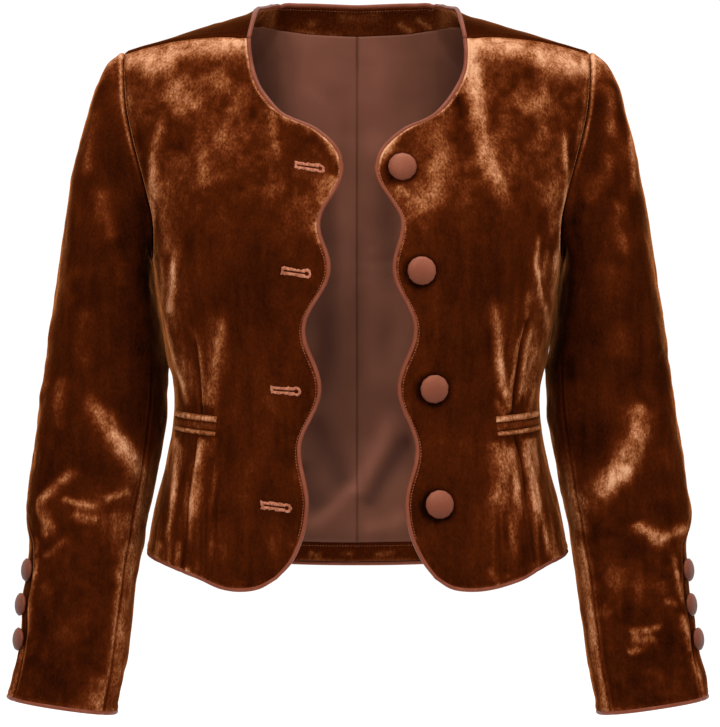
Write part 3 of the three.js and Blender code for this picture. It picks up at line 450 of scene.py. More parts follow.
# How far each point of a grid lies from its four rims
def rimDistances(points):
    across = np.linalg.norm(np.diff(points, axis=1), axis=-1)
    up = np.linalg.norm(np.diff(points, axis=0), axis=-1)
    zeroColumn = np.zeros((points.shape[0], 1))
    zeroRow = np.zeros((1, points.shape[1]))
    start = np.hstack([zeroColumn, np.cumsum(across, axis=1)])
    end = start[:, -1:] - start
    foot = np.vstack([zeroRow, np.cumsum(up, axis=0)])
    top = foot[-1:] - foot
    return {"start": start, "end": end, "foot": foot, "top": top}


# A seam pulls the cloth down at the rim and it swells beside it
def seamForm(distance, depth=0.9, swell=0.45):
    return -depth * np.exp(-(distance / 1.6) ** 2) + swell * np.exp(-((distance - 5) / 3) ** 2)


# Pieces
def finishPiece(name, form, materials, nodes, uvSize=(1, 1), smooth=True):
    mesh = bpy.data.meshes.new(name)
    form.to_mesh(mesh)
    form.free()
    for material in materials:
        mesh.materials.append(material)
    if smooth:
        mesh.shade_smooth()
    if mesh.uv_layers:
        layer = mesh.uv_layers[0].data
        flat = np.zeros(len(layer) * 2)
        layer.foreach_get("uv", flat)
        layer.foreach_set("uv", (flat.reshape(-1, 2) * np.array(uvSize)).ravel())
    piece = bpy.data.objects.new(name, mesh)
    bpy.context.scene.collection.objects.link(piece)
    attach(piece, "root")
    if nodes:
        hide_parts(*nodes)
    return piece


# A grid moved onto given points; closed is not used
def gridForm(points, outward=None, closed=False):
    rows, columns = points.shape[0] - 1, points.shape[1] - 1
    form = bmesh.new()
    form.loops.layers.uv.new("UVMap")
    bmesh.ops.create_grid(form, x_segments=columns, y_segments=rows, size=0.5, calc_uvs=True)
    form.verts.ensure_lookup_table()
    spots = []
    for vertex in form.verts:
        j = round((vertex.co.x + 0.5) * columns)
        i = round((vertex.co.y + 0.5) * rows)
        spots.append((i, j))
        vertex.co = Vector(points[i, j]) * metres
    form.normal_update()
    if outward is not None:
        i, j = rows // 2, columns // 2
        middle = min(form.verts, key=lambda v: (v.co - Vector(points[i, j]) * metres).length)
        if middle.normal.dot(Vector(outward[i, j])) < 0:
            bmesh.ops.reverse_faces(form, faces=form.faces)
    return form, spots


cuts = {}


def clothPanel(name, points, normals, wall, materials, nodes, pileAndPaintedLight=None, flushSides=False):
    rows, columns = points.shape[0] - 1, points.shape[1] - 1
    form, spots = gridForm(points, normals)
    if flushSides:
        onSide = {vertex for vertex, (_, j) in zip(form.verts, spots) if j in (0, columns)}
        for edge in form.edges:
            edge.smooth = not (edge.is_boundary and set(edge.verts) <= onSide)
    if pileAndPaintedLight is not None:
        layer = form.verts.layers.float.new("pileAndPaintedLight")
        for vertex, (i, j) in zip(form.verts, spots):
            vertex[layer] = float(pileAndPaintedLight[i, j])
    width = np.linalg.norm(np.diff(points[rows // 2], axis=0), axis=-1).sum() * metres
    length = np.linalg.norm(np.diff(points[:, columns // 2], axis=0), axis=-1).sum() * metres
    piece = finishPiece(name, form, materials, nodes, (width, length))
    cuts[name] = (np.linalg.norm(np.diff(points, axis=1), axis=-1).sum(1).max() * metres,
                  np.linalg.norm(np.diff(points, axis=0), axis=-1).sum(0).max() * metres)
    thick = piece.modifiers.new("cloth thickness", "SOLIDIFY")
    thick.thickness = wall * metres
    thick.offset = -1
    thick.use_rim = True
    if len(materials) > 1:
        thick.material_offset = 1
    return piece


def sheetArea(piece):
    return sum(face.area for face in piece.data.polygons)


# A round tube along points; its rings are square to the line
def tubePiece(name, line, guide, radius, sides, closed, materials, nodes):
    line, guide = np.asarray(line), np.asarray(guide)
    if closed:
        along = unit(np.roll(line, -1, axis=0) - np.roll(line, 1, axis=0))
    else:
        along = unit(np.gradient(line, axis=0))
    across = unit(guide - along * np.sum(guide * along, axis=-1, keepdims=True))
    other = np.cross(along, across)
    turns = np.linspace(0, 2 * math.pi, sides + 1)
    rings = (line[:, None] + radius * (across[:, None] * np.cos(turns)[None, :, None]
                                       + other[:, None] * np.sin(turns)[None, :, None]))
    if closed:
        rings = np.concatenate([rings, rings[:1]], axis=0)
    form, _ = gridForm(rings)
    bmesh.ops.remove_doubles(form, verts=form.verts, dist=1e-6)
    if not closed:
        ends = [edge for edge in form.edges if edge.is_boundary]
        bmesh.ops.holes_fill(form, edges=ends, sides=sides)
    bmesh.ops.recalc_face_normals(form, faces=form.faces)
    length = np.linalg.norm(np.diff(line, axis=0), axis=-1).sum() * metres
    return finishPiece(name, form, materials, nodes, (2 * math.pi * radius * metres, length))


# Edge stitching: real stitches are 2.4 mm apart, drawn a little thick to show
stitching = {"pitch": 2.4, "length": 1.5, "width": 0.5, "height": 0.34, "inset": 3.0}


def makeStitches(name, line, normals):
    runs = np.concatenate([[0], np.cumsum(np.linalg.norm(np.diff(line, axis=0), axis=1))])
    at = np.arange(stitching["pitch"] / 2, runs[-1], stitching["pitch"])
    spots = np.stack([np.interp(at, runs, line[:, k]) for k in range(3)], -1)
    ups = unit(np.stack([np.interp(at, runs, normals[:, k]) for k in range(3)], -1))
    ways = unit(np.gradient(spots, axis=0))
    form = bmesh.new()
    for spot, up, way in zip(spots, ups, ways):
        along = Vector(way)
        side = Vector(up).cross(along).normalized()
        turn = Matrix((along, side, along.cross(side))).transposed().to_4x4()
        size = Matrix.Diagonal((stitching["length"] / 2, stitching["width"] / 2, stitching["height"], 1))
        place = Matrix.Translation(Vector(spot)) @ turn @ size
        bmesh.ops.create_icosphere(form, subdivisions=1, radius=1,
                                   matrix=Matrix.Diagonal((metres, metres, metres, 1)) @ place)
    return finishPiece(name, form, [thread], [])


# The line that runs at an inset from the first column of a grid
def insetLine(points, normals, distances, inset):
    line, ups = [], []
    for spots, outward, reach in zip(points, normals, distances):
        at = np.interp(inset, reach, np.arange(len(reach)))
        low = min(int(at), len(reach) - 2)
        share = at - low
        line.append(spots[low] * (1 - share) + spots[low + 1] * share)
        ups.append(outward[low])
    return np.array(line), np.array(ups)


makeStudio()
print("studio ready")

velvet = velvetMaterial("crushed cotton velvet", velvetLook)
lining = satinMaterial("polyester satin lining", liningLook)
paintedLining = satinMaterial("polyester satin lining, with painted fold light and shade", liningLook, painted=True)
pipingSatin = satinMaterial("satin piping", pipingLook)
buttonSatin = satinMaterial("satin covered button", buttonLook, painted=True)
thread = satinMaterial("worked silk thread", threadLook)
print("materials ready")

cloth = {"velvetWall": 2.0, "liningWall": 1.0, "facingWall": 1.2, "liningGap": 0.7,
         "pipingRadius": 1.9, "pipingSides": 12}

# Shoulder seams and armholes, shared by the panels that meet there
joins = {
    # across, drop below the ridge
    "shoulder": [(90, 24.6), (113.7, 15.4), (134.8, 9.3), (152.3, 5.6), (173.9, 3.8), (194.4, 2.4)],
    "armpitLevel": -212, "turnLevel": -165, "turnShare": 0.34, "topAngle": 68.8,
    "turnAngle": {-1: 70.8, 1: 69},
    "hemSide": -453.5, "hemBack": -471,
}


def armholePlace(hand, side, share):
    side = np.broadcast_to(side, np.shape(share))
    turnAngle = np.where(side < 0, joins["turnAngle"][-1], joins["turnAngle"][1])
    turn = np.minimum(share / joins["turnShare"], 1) * math.pi / 2
    lowAngle = 90 - (90 - turnAngle) * np.sin(turn)
    lowLevel = joins["turnLevel"] - (joins["turnLevel"] - joins["armpitLevel"]) * np.cos(turn)
    rise = np.clip((share - joins["turnShare"]) / (1 - joins["turnShare"]), 0, 1)
    low = share < joins["turnShare"]
    angle = np.where(low, lowAngle, turnAngle + (joins["topAngle"] - turnAngle) * rise)
    level = np.where(low, lowLevel, joins["turnLevel"] + (ridgeLevel - joins["turnLevel"]) * rise)
    return np.stack([hand * degrees * angle, level], -1)


def shoulderPlace(hand, share):
    first, last = joins["shoulder"][0][0], joins["shoulder"][-1][0]
    across = first + (last - first) * np.asarray(share, float)
    drop = readTable(joins["shoulder"], across)
    level = torso["domeBase"] + torso["domeHeight"] * np.arcsin(1 - drop / torso["domeHeight"])
    return np.stack([angleAt(hand * across, level), level], -1)


tip = shoulderPlace(1, 1.0)
tipShare = joins["turnShare"] + (1 - joins["turnShare"]) * (
    (tip[1] - joins["turnLevel"]) / (ridgeLevel - joins["turnLevel"]))
tipAngle = armholePlace(1, -1, np.array(tipShare))[0]


def shoulderSeam(hand, share):
    place = shoulderPlace(hand, share)
    place[..., 0] += share * hand * (tipAngle - tip[0])
    return place


def overRidge(place):
    return np.stack([place[..., 0], 2 * ridgeLevel - place[..., 1]], -1)


def sideSeam(hand, share):
    level = joins["hemSide"] + (joins["armpitLevel"] - joins["hemSide"]) * share
    return np.stack([np.full(np.shape(share), hand * math.pi / 2), level], -1)


# Fronts: across is each front's distance from the middle, right and left of the wearer
fronts = {
    "grid": (134, 290), "crowding": 1.2,
    "neck": [(89.2, 90, -40), (86.1, 88.5, -56.8), (78.2, 80, -74.9), (61.3, 64.5, -93.7),
             (33.1, 38, -107), (15.5, 20, -124.6), (12.2, 15.9, -138)],
    "scallops": [(12.2, 15.9, -138), (31.6, 37.5, -184.8), (22.9, 30.5, -220), (43.7, 48, -270.5),
                 (30.6, 34.6, -318), (47.4, 49.4, -368), (40.8, 40.8, -412)],
    "corner": [(40.8, 40.8, -412), (42.4, 42.4, -427), (46.6, 46.8, -442.4), (54.3, 54.9, -458.5),
               (66.2, 64.8, -471.2)],
    "hem": [(66.2, 64.8, -471.2), (80.3, 77.8, -479.2), (95.8, 95.3, -481.5), (111.4, 113.9, -479.5),
            (128.1, 136.5, -473), (145, 148, -467), (162.5, 161, -460.7)],
    "shares": {"corner": 0.1, "scallops": 0.6, "neck": 0.3}, "hemShare": 0.82, "sideShare": 0.53,
    "unevenness": [(42, 1.1, 11), (17, 0.7, 12), (7, 0.28, 13)],
    # Folds run in (across, height), all across values are the wearer's own side
    "baseNap": 0.25,
    "folds": {
        -1: [
            # painted highlight along the shoulder, where its top catches the light
            (9, 0, 0.42, [(84, -33), (115, -34), (150, -37), (192, -46)], (0, 0)),
            (7, 0.6, 0.24, [(150, -50), (182, -56)]),
            (12, 0.8, 0.24, [(148, -60), (146, -74), (138, -94)]),
            (9, 0, 0.12, [(118, -54), (105, -76)]),
            (16, 0, 0.14, [(88, -66), (110, -100), (122, -140)], (0.1, 0.4)),
            (7, 0.7, 0.18, [(130, -122), (125, -156)]),
            (8, 0, 0.10, [(55, -150), (75, -160), (92, -150)]),
            (3, 0.3, 0.30, [(64, -95), (40, -103), (26, -113), (16, -131)], (0.1, 0)),
            (3, -0.6, -0.12, [(86, -70), (86, -100)]),
            (3, -0.6, -0.12, [(63, -95), (62, -118)]),
            (5, 1.0, 0.18, [(70, -85), (67, -112), (67, -136)]),
            (13, 0, -0.12, [(24, -116), (44, -122), (60, -130)]),
            (9, 0.4, 0.32, [(16, -145), (22, -158), (34, -174)], (0.1, 0.3)),
            (7, 0, 0.20, [(48, -160), (38, -178), (32, -196)]),
            (3, 0.3, 0.26, [(31, -180), (31, -204)]),
            # fold beside the armhole
            (4.2, 1.2, 0.32, [(158, -90), (165, -112), (169, -140), (169, -175), (166, -205)], (0.2, 0.3)),
            (8, -1.0, -0.12, [(146, -96), (150, -125)]),
            (9, 1.0, 0.22, [(166, -140), (160, -175), (154, -215)]),
            (3.4, 0.8, 0.42, [(147, -198), (150, -214), (153, -240), (157, -264)], (0.25, 0.2)),
            (2.2, 0.4, 0.24, [(160, -205), (161, -235), (162, -262)]),
            (13, 0, 0.13, [(150, -205), (152, -250), (149, -300), (142, -335)]),
            (10, 0, 0.09, [(112, -250), (118, -330)]),
            (30, 0, -0.05, [(40, -230), (100, -240), (130, -235)]),
            # long dart, from the bust through the pocket to the hem, and its ridges
            (1.8, -1.6, -0.16, [(139, -250), (133, -279), (130, -305), (127.5, -338), (131, -357), (134, -386),
                                (137, -408), (140, -437), (144, -466)], (0.08, 0)),
            (2.2, 0.8, 0.26, [(137, -262), (130.5, -282), (127.5, -306), (125, -334)], (0.2, 0.1)),
            (2.4, 1.2, 0.36, [(156, -256), (155, -274), (150, -300), (144, -314), (139, -335)], (0.15, 0.1)),
            (5, 1.8, 0.24, [(109, -248), (113, -280), (117, -307), (121, -335)], (0.3, 0.05)),
            (6, 1.0, 0.10, [(148, -275), (140, -310), (134, -334)]),
            (12, 0.6, 0.06, [(52, -320), (70, -340)]),
            (2.6, 1.0, 0.38, [(150, -357), (150, -378), (151, -415), (150, -428)], (0.05, 0.4)),
            (2.6, 0.8, 0.34, [(146, -362), (149, -400), (154, -430), (160, -450)], (0.05, 0.3)),
            (3, 0.8, 0.24, [(157, -360), (157, -390)], (0.1, 0.5)),
            (6.5, 1.8, 0.30, [(124, -358), (130, -385), (134, -410), (137, -442)], (0.05, 0.4)),
            (3, 0.6, 0.18, [(116, -358), (119, -380)], (0.05, 0.6)),
            (2, 0.6, 0.22, [(127, -362), (131, -386), (134.5, -410), (140, -455)], (0.1, 0.2)),
            (3, 0.6, 0.26, [(146, -440), (147, -470)], (0.3, 0)),
            (3, 0.4, 0.30, [(161, -442), (166, -462)], (0.3, 0)),
            (2.5, 0.4, 0.28, [(140, -464), (135, -474)], (0.2, 0)),
            (14, 0, 0.10, [(52, -436), (76, -446)]),
            (9, 1.2, 0.05, [(92, -370), (98, -420), (108, -470)]),
        ],
        1: [
            # painted highlight along the shoulder, where its top catches the light
            (9, 0, 0.42, [(84, -33), (115, -34), (150, -38), (192, -48)], (0, 0)),
            (8, 0.6, 0.30, [(145, -47), (186, -58)]),
            # broad fold from the neck towards the bust
            (7.5, 2.0, 0.44, [(90, -32), (96, -62), (99, -88), (101, -112), (108, -136), (115, -152), (128, -182)],
             (0.05, 0.3)),
            (10, 0, 0.16, [(96, -50), (92, -78)]),
            (5, -1.2, -0.24, [(82, -76), (89, -100)]),
            (13, 0, -0.12, [(112, -56), (132, -72)]),
            (4.5, 0.4, 0.36, [(87, -38), (80, -66), (64, -90), (34, -107), (18, -132)], (0.05, 0)),
            (11, 0.5, 0.22, [(62, -96), (68, -126), (62, -160), (48, -196)], (0.15, 0.4)),
            (12, 0, 0.22, [(26, -150), (44, -162), (56, -180)]),
            (9, 0, -0.10, [(36, -112), (48, -124)]),
            (8, -0.8, -0.12, [(84, -104), (92, -136)]),
            (8, 0.8, 0.20, [(134, -94), (148, -84), (162, -70)]),
            (8, 0.3, 0.16, [(158, -100), (147, -124)]),
            (14, 0, 0.10, [(112, -105), (134, -140)]),
            # fold beside the armhole
            (2.8, 1.4, 0.46, [(170, -96), (172, -120), (173, -140), (171.5, -166), (168, -194), (164, -222),
                              (160, -258)], (0.15, 0.2)),
            (9, 1.2, 0.20, [(160, -140), (166, -170), (160, -208)]),
            (2.2, 0.8, 0.44, [(149, -188), (147, -214), (150, -234), (154, -256)], (0.2, 0.2)),
            (3, 0.4, 0.22, [(158, -202), (152, -230)]),
            (2.4, 0.4, 0.20, [(141, -236), (139, -264)]),
            (13, 0, 0.14, [(152, -196), (152, -250), (149, -300), (142, -335)]),
            (10, 0, 0.10, [(112, -240), (118, -330)]),
            (20, 0, 0.08, [(120, -362), (128, -400), (140, -430)]),
            (32, 0, -0.05, [(60, -235), (100, -240), (126, -240)]),
            # ridge down from the bust, and the long dart
            (3.6, 1.8, 0.40, [(110, -238), (114, -270), (116, -295), (120, -315), (126, -340)], (0.3, 0.05)),
            (4, -0.8, -0.10, [(107, -262), (110, -300), (113, -330)]),
            (2.6, 0.5, 0.26, [(112, -324), (121, -341)], (0.4, 0)),
            (1.8, -1.6, -0.18, [(142, -254), (136, -279), (132, -302), (127.5, -337), (130, -358), (135, -378),
                                (138, -401), (141, -420), (144, -440), (147, -466)], (0.08, 0)),
            (2, 0.7, 0.28, [(139, -262), (132.5, -282), (128.5, -304), (124.5, -335)], (0.2, 0.1)),
            (2, 0.7, 0.26, [(145, -262), (140, -282), (136, -304), (131.5, -335)], (0.2, 0.1)),
            (2.6, 0.8, 0.34, [(154, -246), (157, -262), (158, -276)], (0.2, 0.4)),
            (4.5, 0.8, 0.16, [(148, -280), (140, -304), (136, -328)]),
            (2.4, 0.6, 0.24, [(147, -312), (142, -338)], (0.3, 0)),
            (7, 1.8, 0.28, [(113, -360), (117, -380), (116, -394), (114, -412), (115, -432)], (0.05, 0.4)),
            (5, 1.2, 0.20, [(124, -362), (128, -393), (130, -420), (128, -452), (128, -470)], (0.05, 0.2)),
            (5, 1.6, 0.44, [(140, -358), (142, -380), (146, -400), (148, -420), (149, -440)], (0.05, 0.35)),
            (2.4, 0.8, 0.34, [(146, -358), (149, -378), (150, -396)], (0.05, 0.4)),
            (4, 0.8, 0.26, [(153, -428), (158, -446), (163, -462)], (0.3, 0)),
            (3, 0.4, 0.28, [(146, -460), (147, -470)], (0.2, 0)),
            (3.5, 0.4, 0.22, [(106, -462), (115, -477)], (0.3, 0)),
            (9, 1.2, 0.05, [(90, -370), (94, -420), (100, -472)]),
        ],
    },
    # the side comes out to meet the sleeve: (from, full, full, to) in height
    "meet": {"heights": (-204, -232, -296, -309), "out": 2.0},
}


def tableLine(rows, hand):
    column = 0 if hand < 0 else 1
    points = [(row[column], row[2]) for row in rows]

    def line(shares):
        spot = smoothLine(points, shares)
        return placeOf(hand * spot[..., 0], spot[..., 1])
    return line


def scallopLine(rows, hand):
    column = 0 if hand < 0 else 1
    across = np.array([row[column] for row in rows])
    height = np.array([row[2] for row in rows])

    def line(shares):
        run = shares * (len(rows) - 1)
        i = np.minimum(run.astype(int), len(rows) - 2)
        ease = (1 - np.cos((run - i) * math.pi)) / 2
        return placeOf(hand * (across[i] + (across[i + 1] - across[i]) * ease),
                       height[i] + (height[i + 1] - height[i]) * (run - i))
    return line


def frontPlaces(hand):
    columns, rows = fronts["grid"]
    s, t = np.linspace(0, 1, columns + 1) ** fronts["crowding"], np.linspace(0, 1, rows + 1)
    column = 0 if hand < 0 else 1
    firstAcross, firstDrop = joins["shoulder"][0]
    neckEnd = (firstAcross, firstAcross, float(readTable(torso["ridge"], firstAcross)) - firstDrop)
    neck = tableLine([neckEnd] + fronts["neck"], hand)
    corner = tableLine(fronts["corner"], hand)
    scallops = scallopLine(fronts["scallops"], hand)
    hem = tableLine(fronts["hem"], hand)
    hemEnd = np.array([hand * math.pi / 2, joins["hemSide"]])
    shares = fronts["shares"]
    foot = joinLines([
        (fronts["hemShare"], hem),
        (1 - fronts["hemShare"], lambda k: hem(np.ones(1)) * (1 - k[:, None]) + hemEnd * k[:, None])], s)
    start = joinLines([
        (shares["corner"], lambda k: corner(1 - k)),
        (shares["scallops"], lambda k: scallops(1 - k)),
        (shares["neck"], lambda k: neck(1 - k))], t)
    end = joinLines([
        (fronts["sideShare"], lambda k: sideSeam(hand, k)),
        (1 - fronts["sideShare"], lambda k: armholePlace(hand, -1, k * tipShare))], t)
    return blendPatch(foot, shoulderSeam(hand, s), start, end, (1 - s) ** 2, t * t)


def unevenRise(points, layers):
    return sum(amount * softNoise(points, size, seed) for size, amount, seed in layers)


def frontForm(hand, places, rimFade=None):
    points = torsoPoint(-1, places)
    normals = torsoNormal(-1, places)
    rise, pileAndPaintedLight = foldField(fronts["folds"][hand], np.abs(points[..., 0]), points[..., 2])
    rise = rise + unevenRise(points, fronts["unevenness"])
    if rimFade is not None:
        rise = rise * rimFade
    return points + normals * rise[..., None], normals, pileAndPaintedLight, rise


# The torso's side and the sleeve come out to meet each other under the arm
def meetRise(height, nearness):
    first, second, third, last = fronts["meet"]["heights"]
    share = smoothStep(-height, -first, -second) * (1 - smoothStep(-height, -third, -last))
    return fronts["meet"]["out"] * share * nearness


def sideRims(distances, names):
    return np.minimum.reduce([distances[name] for name in names])


def makeFront(hand, name):
    places = frontPlaces(hand)
    flat = torsoPoint(-1, places)
    distances = rimDistances(flat)
    seams = sideRims(distances, ["end", "top"])
    edges = sideRims(distances, ["start", "foot"])
    points, normals, pileAndPaintedLight, _ = frontForm(hand, places, smoothStep(seams, 0, 14))
    points = points + normals * seamForm(seams, 0.3, 0.3)[..., None]
    # The edge is turned over the piping and lies a little proud beside it
    points = points + normals * (0.7 * np.exp(-((edges - 4) / 2.5) ** 2) - 0.3 * np.exp(-(edges / 1.2) ** 2))[..., None]
    height, across = points[..., 2], np.abs(points[..., 0])
    near = np.exp(-(distances["end"] / 16) ** 2)
    points = points + normals * meetRise(height, near)[..., None]
    spots = softNoise(points, 2.6, 32)
    pileAndPaintedLight = fronts["baseNap"] + pileAndPaintedLight * brokenPile(points)
    # A painted highlight on the rim where the velvet turns over the piping, fuller higher up, broken by the pile, with
    # pale patches of it on the proud ridge beside
    rim = np.exp(-((edges - 2.0) / 0.9) ** 2)
    pileAndPaintedLight += (0.34 + 0.2 * spots) * rim * (0.55 + 0.45 * smoothStep(height, -260, -120))
    pileAndPaintedLight += 0.12 * np.exp(-((edges - 6) / 3) ** 2) * np.maximum(0, softNoise(points, 5, 34))
    # Painted highlight on the swell beside the seams, with a dark seam line
    pileAndPaintedLight += 0.10 * np.exp(-((seams - 4) / 2.5) ** 2) - 0.08 * np.exp(-(seams / 0.7) ** 2)
    # The pile is rougher over the chest and drawn paler there, with a painted highlight towards the shoulders; low down
    # it is smooth and drawn darker
    chest = smoothStep(height, -215, -135)
    pileAndPaintedLight += 0.08 * chest + 0.04 * smoothStep(height, -110, -60) - 0.03 * smoothStep(-height, 330, 400)
    pileAndPaintedLight += (0.05 + 0.02 * chest) * softNoise(points, 28, 31) + (0.03 + 0.05 * chest) * softNoise(points, 11, 33)
    pileAndPaintedLight += (0.02 + 0.07 * chest) * softNoise(points, 5, 35) + pileStreaks(points, 36) * (1 - 0.5 * chest)
    # Painted shade in a band beside the armhole, from under the shoulder down to the armpit
    pileAndPaintedLight -= 0.12 * np.exp(-((distances["end"] - 9) / 8) ** 2) * smoothStep(-height, 90, 120) * (height > -215)
    pressed = smoothStep(across, 100, 122) * (0.5 * smoothStep(-height, 240, 290) + 0.5 * smoothStep(-height, 356, 362))
    drawn = points * np.array([1, 1, 0.09])
    pileAndPaintedLight += pressed * (0.22 * np.maximum(0, softNoise(drawn, 5, 37)) + 0.16 * np.maximum(0, softNoise(drawn, 2.8, 38)))
    if hand > 0:
        # Contact shade round the buttons
        for spotAcross, spotHeight in buttons["front"]:
            reach = np.hypot(across - spotAcross + 1.2, height - spotHeight + 1.2)
            pileAndPaintedLight -= 0.24 * np.exp(-((reach - 11) / 3.5) ** 2)
    piece = clothPanel(f"front_velvet_{name}", points, normals, cloth["velvetWall"], [velvet, lining],
                       [f"front_{name}"], pileAndPaintedLight)
    edge, ups = insetLine(points, normals, distances["start"], stitching["inset"])
    low = int(0.06 * len(edge))
    makeStitches(f"stitches_front_edge_{name}", edge[low:], ups[low:])
    run = [(points[0, j], normals[0, j]) for j in range(points.shape[1] - 1, -1, -1)]
    run += [(points[i, 0], normals[i, 0]) for i in range(1, points.shape[0])]
    line = np.array([point - normal * cloth["velvetWall"] / 2 for point, normal in run])
    guide = np.array([normal for _, normal in run])
    piping = tubePiece(f"piping_satin_front_{name}", line, guide, cloth["pipingRadius"], cloth["pipingSides"],
                       False, [pipingSatin], [f"piping_front_{name}"])
    return piece, piping


# The seam of neck facing and lining runs on evenly under the neck corners: where each column meets it
def evenSeam(places, shares, seamShare):
    first, last, lift = 50, 82, 4.0
    points = torsoPoint(1, places)
    across = np.array([np.interp(seamShare, shares, column) for column in np.abs(points[..., 0]).T])
    height = np.array([np.interp(seamShare, shares, column) for column in points[..., 2].T])
    order = np.argsort(across)
    start = np.interp(first, across[order], height[order])
    wanted = start + lift * np.clip((across - first) / (last - first), 0, 1)
    near = np.abs(shares - seamShare) < 0.05
    meets = np.array([np.interp(goal, np.maximum.accumulate(column[near]), shares[near])
                      for goal, column in zip(wanted, points[..., 2].T)])
    weight = smoothStep(across, first, first + 4) * (1 - smoothStep(across, last, last + 12))
    return seamShare + (meets - seamShare) * weight


# Back, which wraps forward over the shoulders
backs = {
    "grid": (130, 110), "crowding": 1.2,
    "neckSide": [(86.6, 38), (84.6, 20), (81.8, 5.5), (78.5, -3.5), (74.8, -12.7), (70.8, -22.9), (66.5, -28.7)],
    "neckBack": -29.5,
    "neckShares": (6 / 26, 11 / 26), "sideShare": 0.5,
    "facingShare": 0.107, "hemFacingShare": 0.032, "liningStart": 1 / 26, "baseNap": 0.28,
    "unevenness": [(46, 1.2, 21), (18, 0.7, 22), (7, 0.28, 23)],
    "folds": [
        (7, 2.4, 0.30, [(-95, -255), (-90, -330), (-98, -450)]),
        (2.5, 0.8, 0.34, [(-84, -262), (-80, -320), (-84, -400)]),
        (6, 2.2, 0.26, [(92, -260), (88, -335), (99, -448)]),
        (3, 0.8, 0.30, [(104, -280), (100, -345), (112, -430)]),
        (6, 1.6, 0.20, [(-60, -300), (-48, -345), (-58, -440)]),
        (4, 1.8, 0.26, [(52, -295), (46, -350), (60, -445)]),
        (9, 1.4, 0.22, [(-120, -330), (-40, -345), (30, -340)]),
        (5, 3.0, 0.38, [(-160, -95), (-166, -140), (-160, -190)]),
        (5, 3.2, 0.38, [(160, -95), (166, -145), (159, -195)]),
        (11, 1.2, 0.20, [(-120, -75), (-60, -100), (40, -96)]),
        (10, 1.6, 0.24, [(130, -110), (100, -170), (60, -215)]),
        (9, 1.6, 0.26, [(-130, -120), (-105, -175), (-60, -225)]),
        (14, 0, 0.20, [(20, -120), (50, -150), (30, -190)]),
        (12, 0, 0.16, [(-40, -380), (10, -400), (60, -385)]),
        (2, -0.8, -0.10, [(0, -45), (0, -200), (0, -470)], (0, 0)),
        (3, 0.4, 0.16, [(4, -60), (4, -260), (5, -460)]),
    ],
    # Painted highlights on the neck and hem facings: strokes with no rise
    "facingFolds": [
        (3, 0, 0.2, [(34, -2), (42, -9), (50, -12)]), (2.5, 0, 0.2, [(50, 2), (60, -6), (66, -10)]),
        (4, 0, 0.18, [(-42, 0), (-36, -6)]), (5, 0, 0.14, [(-20, 3), (0, 1), (24, 3)]),
        (3, 0, 0.16, [(-60, -10), (-30, -14), (-10, -15)]), (7, 0, 0.14, [(-80, 4), (-75, -20)], (0, 0)),
        (7, 0, 0.14, [(80, 4), (75, -20)], (0, 0))],
    "hemFolds": [
        (3, 0, 0.22, [(-44, -462), (-30, -464)]), (3, 0, 0.22, [(-14, -461), (0, -463)]),
        (3, 0, 0.20, [(14, -464), (34, -461)]), (2.5, 0, 0.2, [(-50, -468), (0, -470), (50, -468)], (0, 0))],
    # The lining hangs inwards; the pale and dark of its folds are painted highlights and painted shade, read across the
    # hollow of the back
    "liningFolds": [
        (3, -0.8, 0.06, [(-4, -60), (-5, -200), (-5, -440)]),
        (28, 0, 0.22, [(-34, -20), (-36, -70), (-28, -115)], (0, 0.3)),
        (18, 0, 0.20, [(16, -30), (14, -90), (22, -135)], (0, 0.3)),
        (12, 0, 0.08, [(46, -36), (50, -80), (40, -120)], (0, 0.3)),
        (20, -1.0, -0.26, [(-92, -40), (-86, -80), (-66, -120), (-40, -160)], (0, 0.2)),
        (18, -1.0, -0.22, [(92, -40), (88, -80), (66, -120)], (0, 0.3)),
        (9, -2.0, -0.18, [(-30, -120), (-26, -200), (-26, -300), (-34, -350)]),
        (7, 0, 0.06, [(-14, -120), (-13, -220), (-14, -320)]),
        (9, -1.4, -0.16, [(26, -120), (24, -170), (30, -240)]),
        (8, 0, 0.05, [(10, -160), (12, -240), (14, -330)]),
        (10, 0, 0.07, [(46, -200), (40, -270), (34, -330)]),
        (12, -2.2, -0.26, [(-40, -336), (-24, -372), (-14, -396), (-4, -402)], (0.2, 0.1)),
        (13, -1.6, -0.22, [(-52, -380), (-42, -408), (-30, -428)]),
        (7, 0, 0.20, [(-2, -398), (-16, -418), (-34, -434), (-56, -440)], (0.1, 0.3)),
        (8, 0.0, 0.22, [(34, -330), (20, -366), (2, -402), (-2, -414)], (0.3, 0.1)),
        (8, -2.2, -0.30, [(48, -352), (34, -374), (16, -404), (6, -424)], (0.2, 0.1)),
        (7, 0, 0.16, [(4, -440), (28, -436), (48, -424)], (0.1, 0.3)),
        (12, 0, -0.12, [(-50, -450), (0, -456), (50, -450)], (0, 0)),
    ],
}


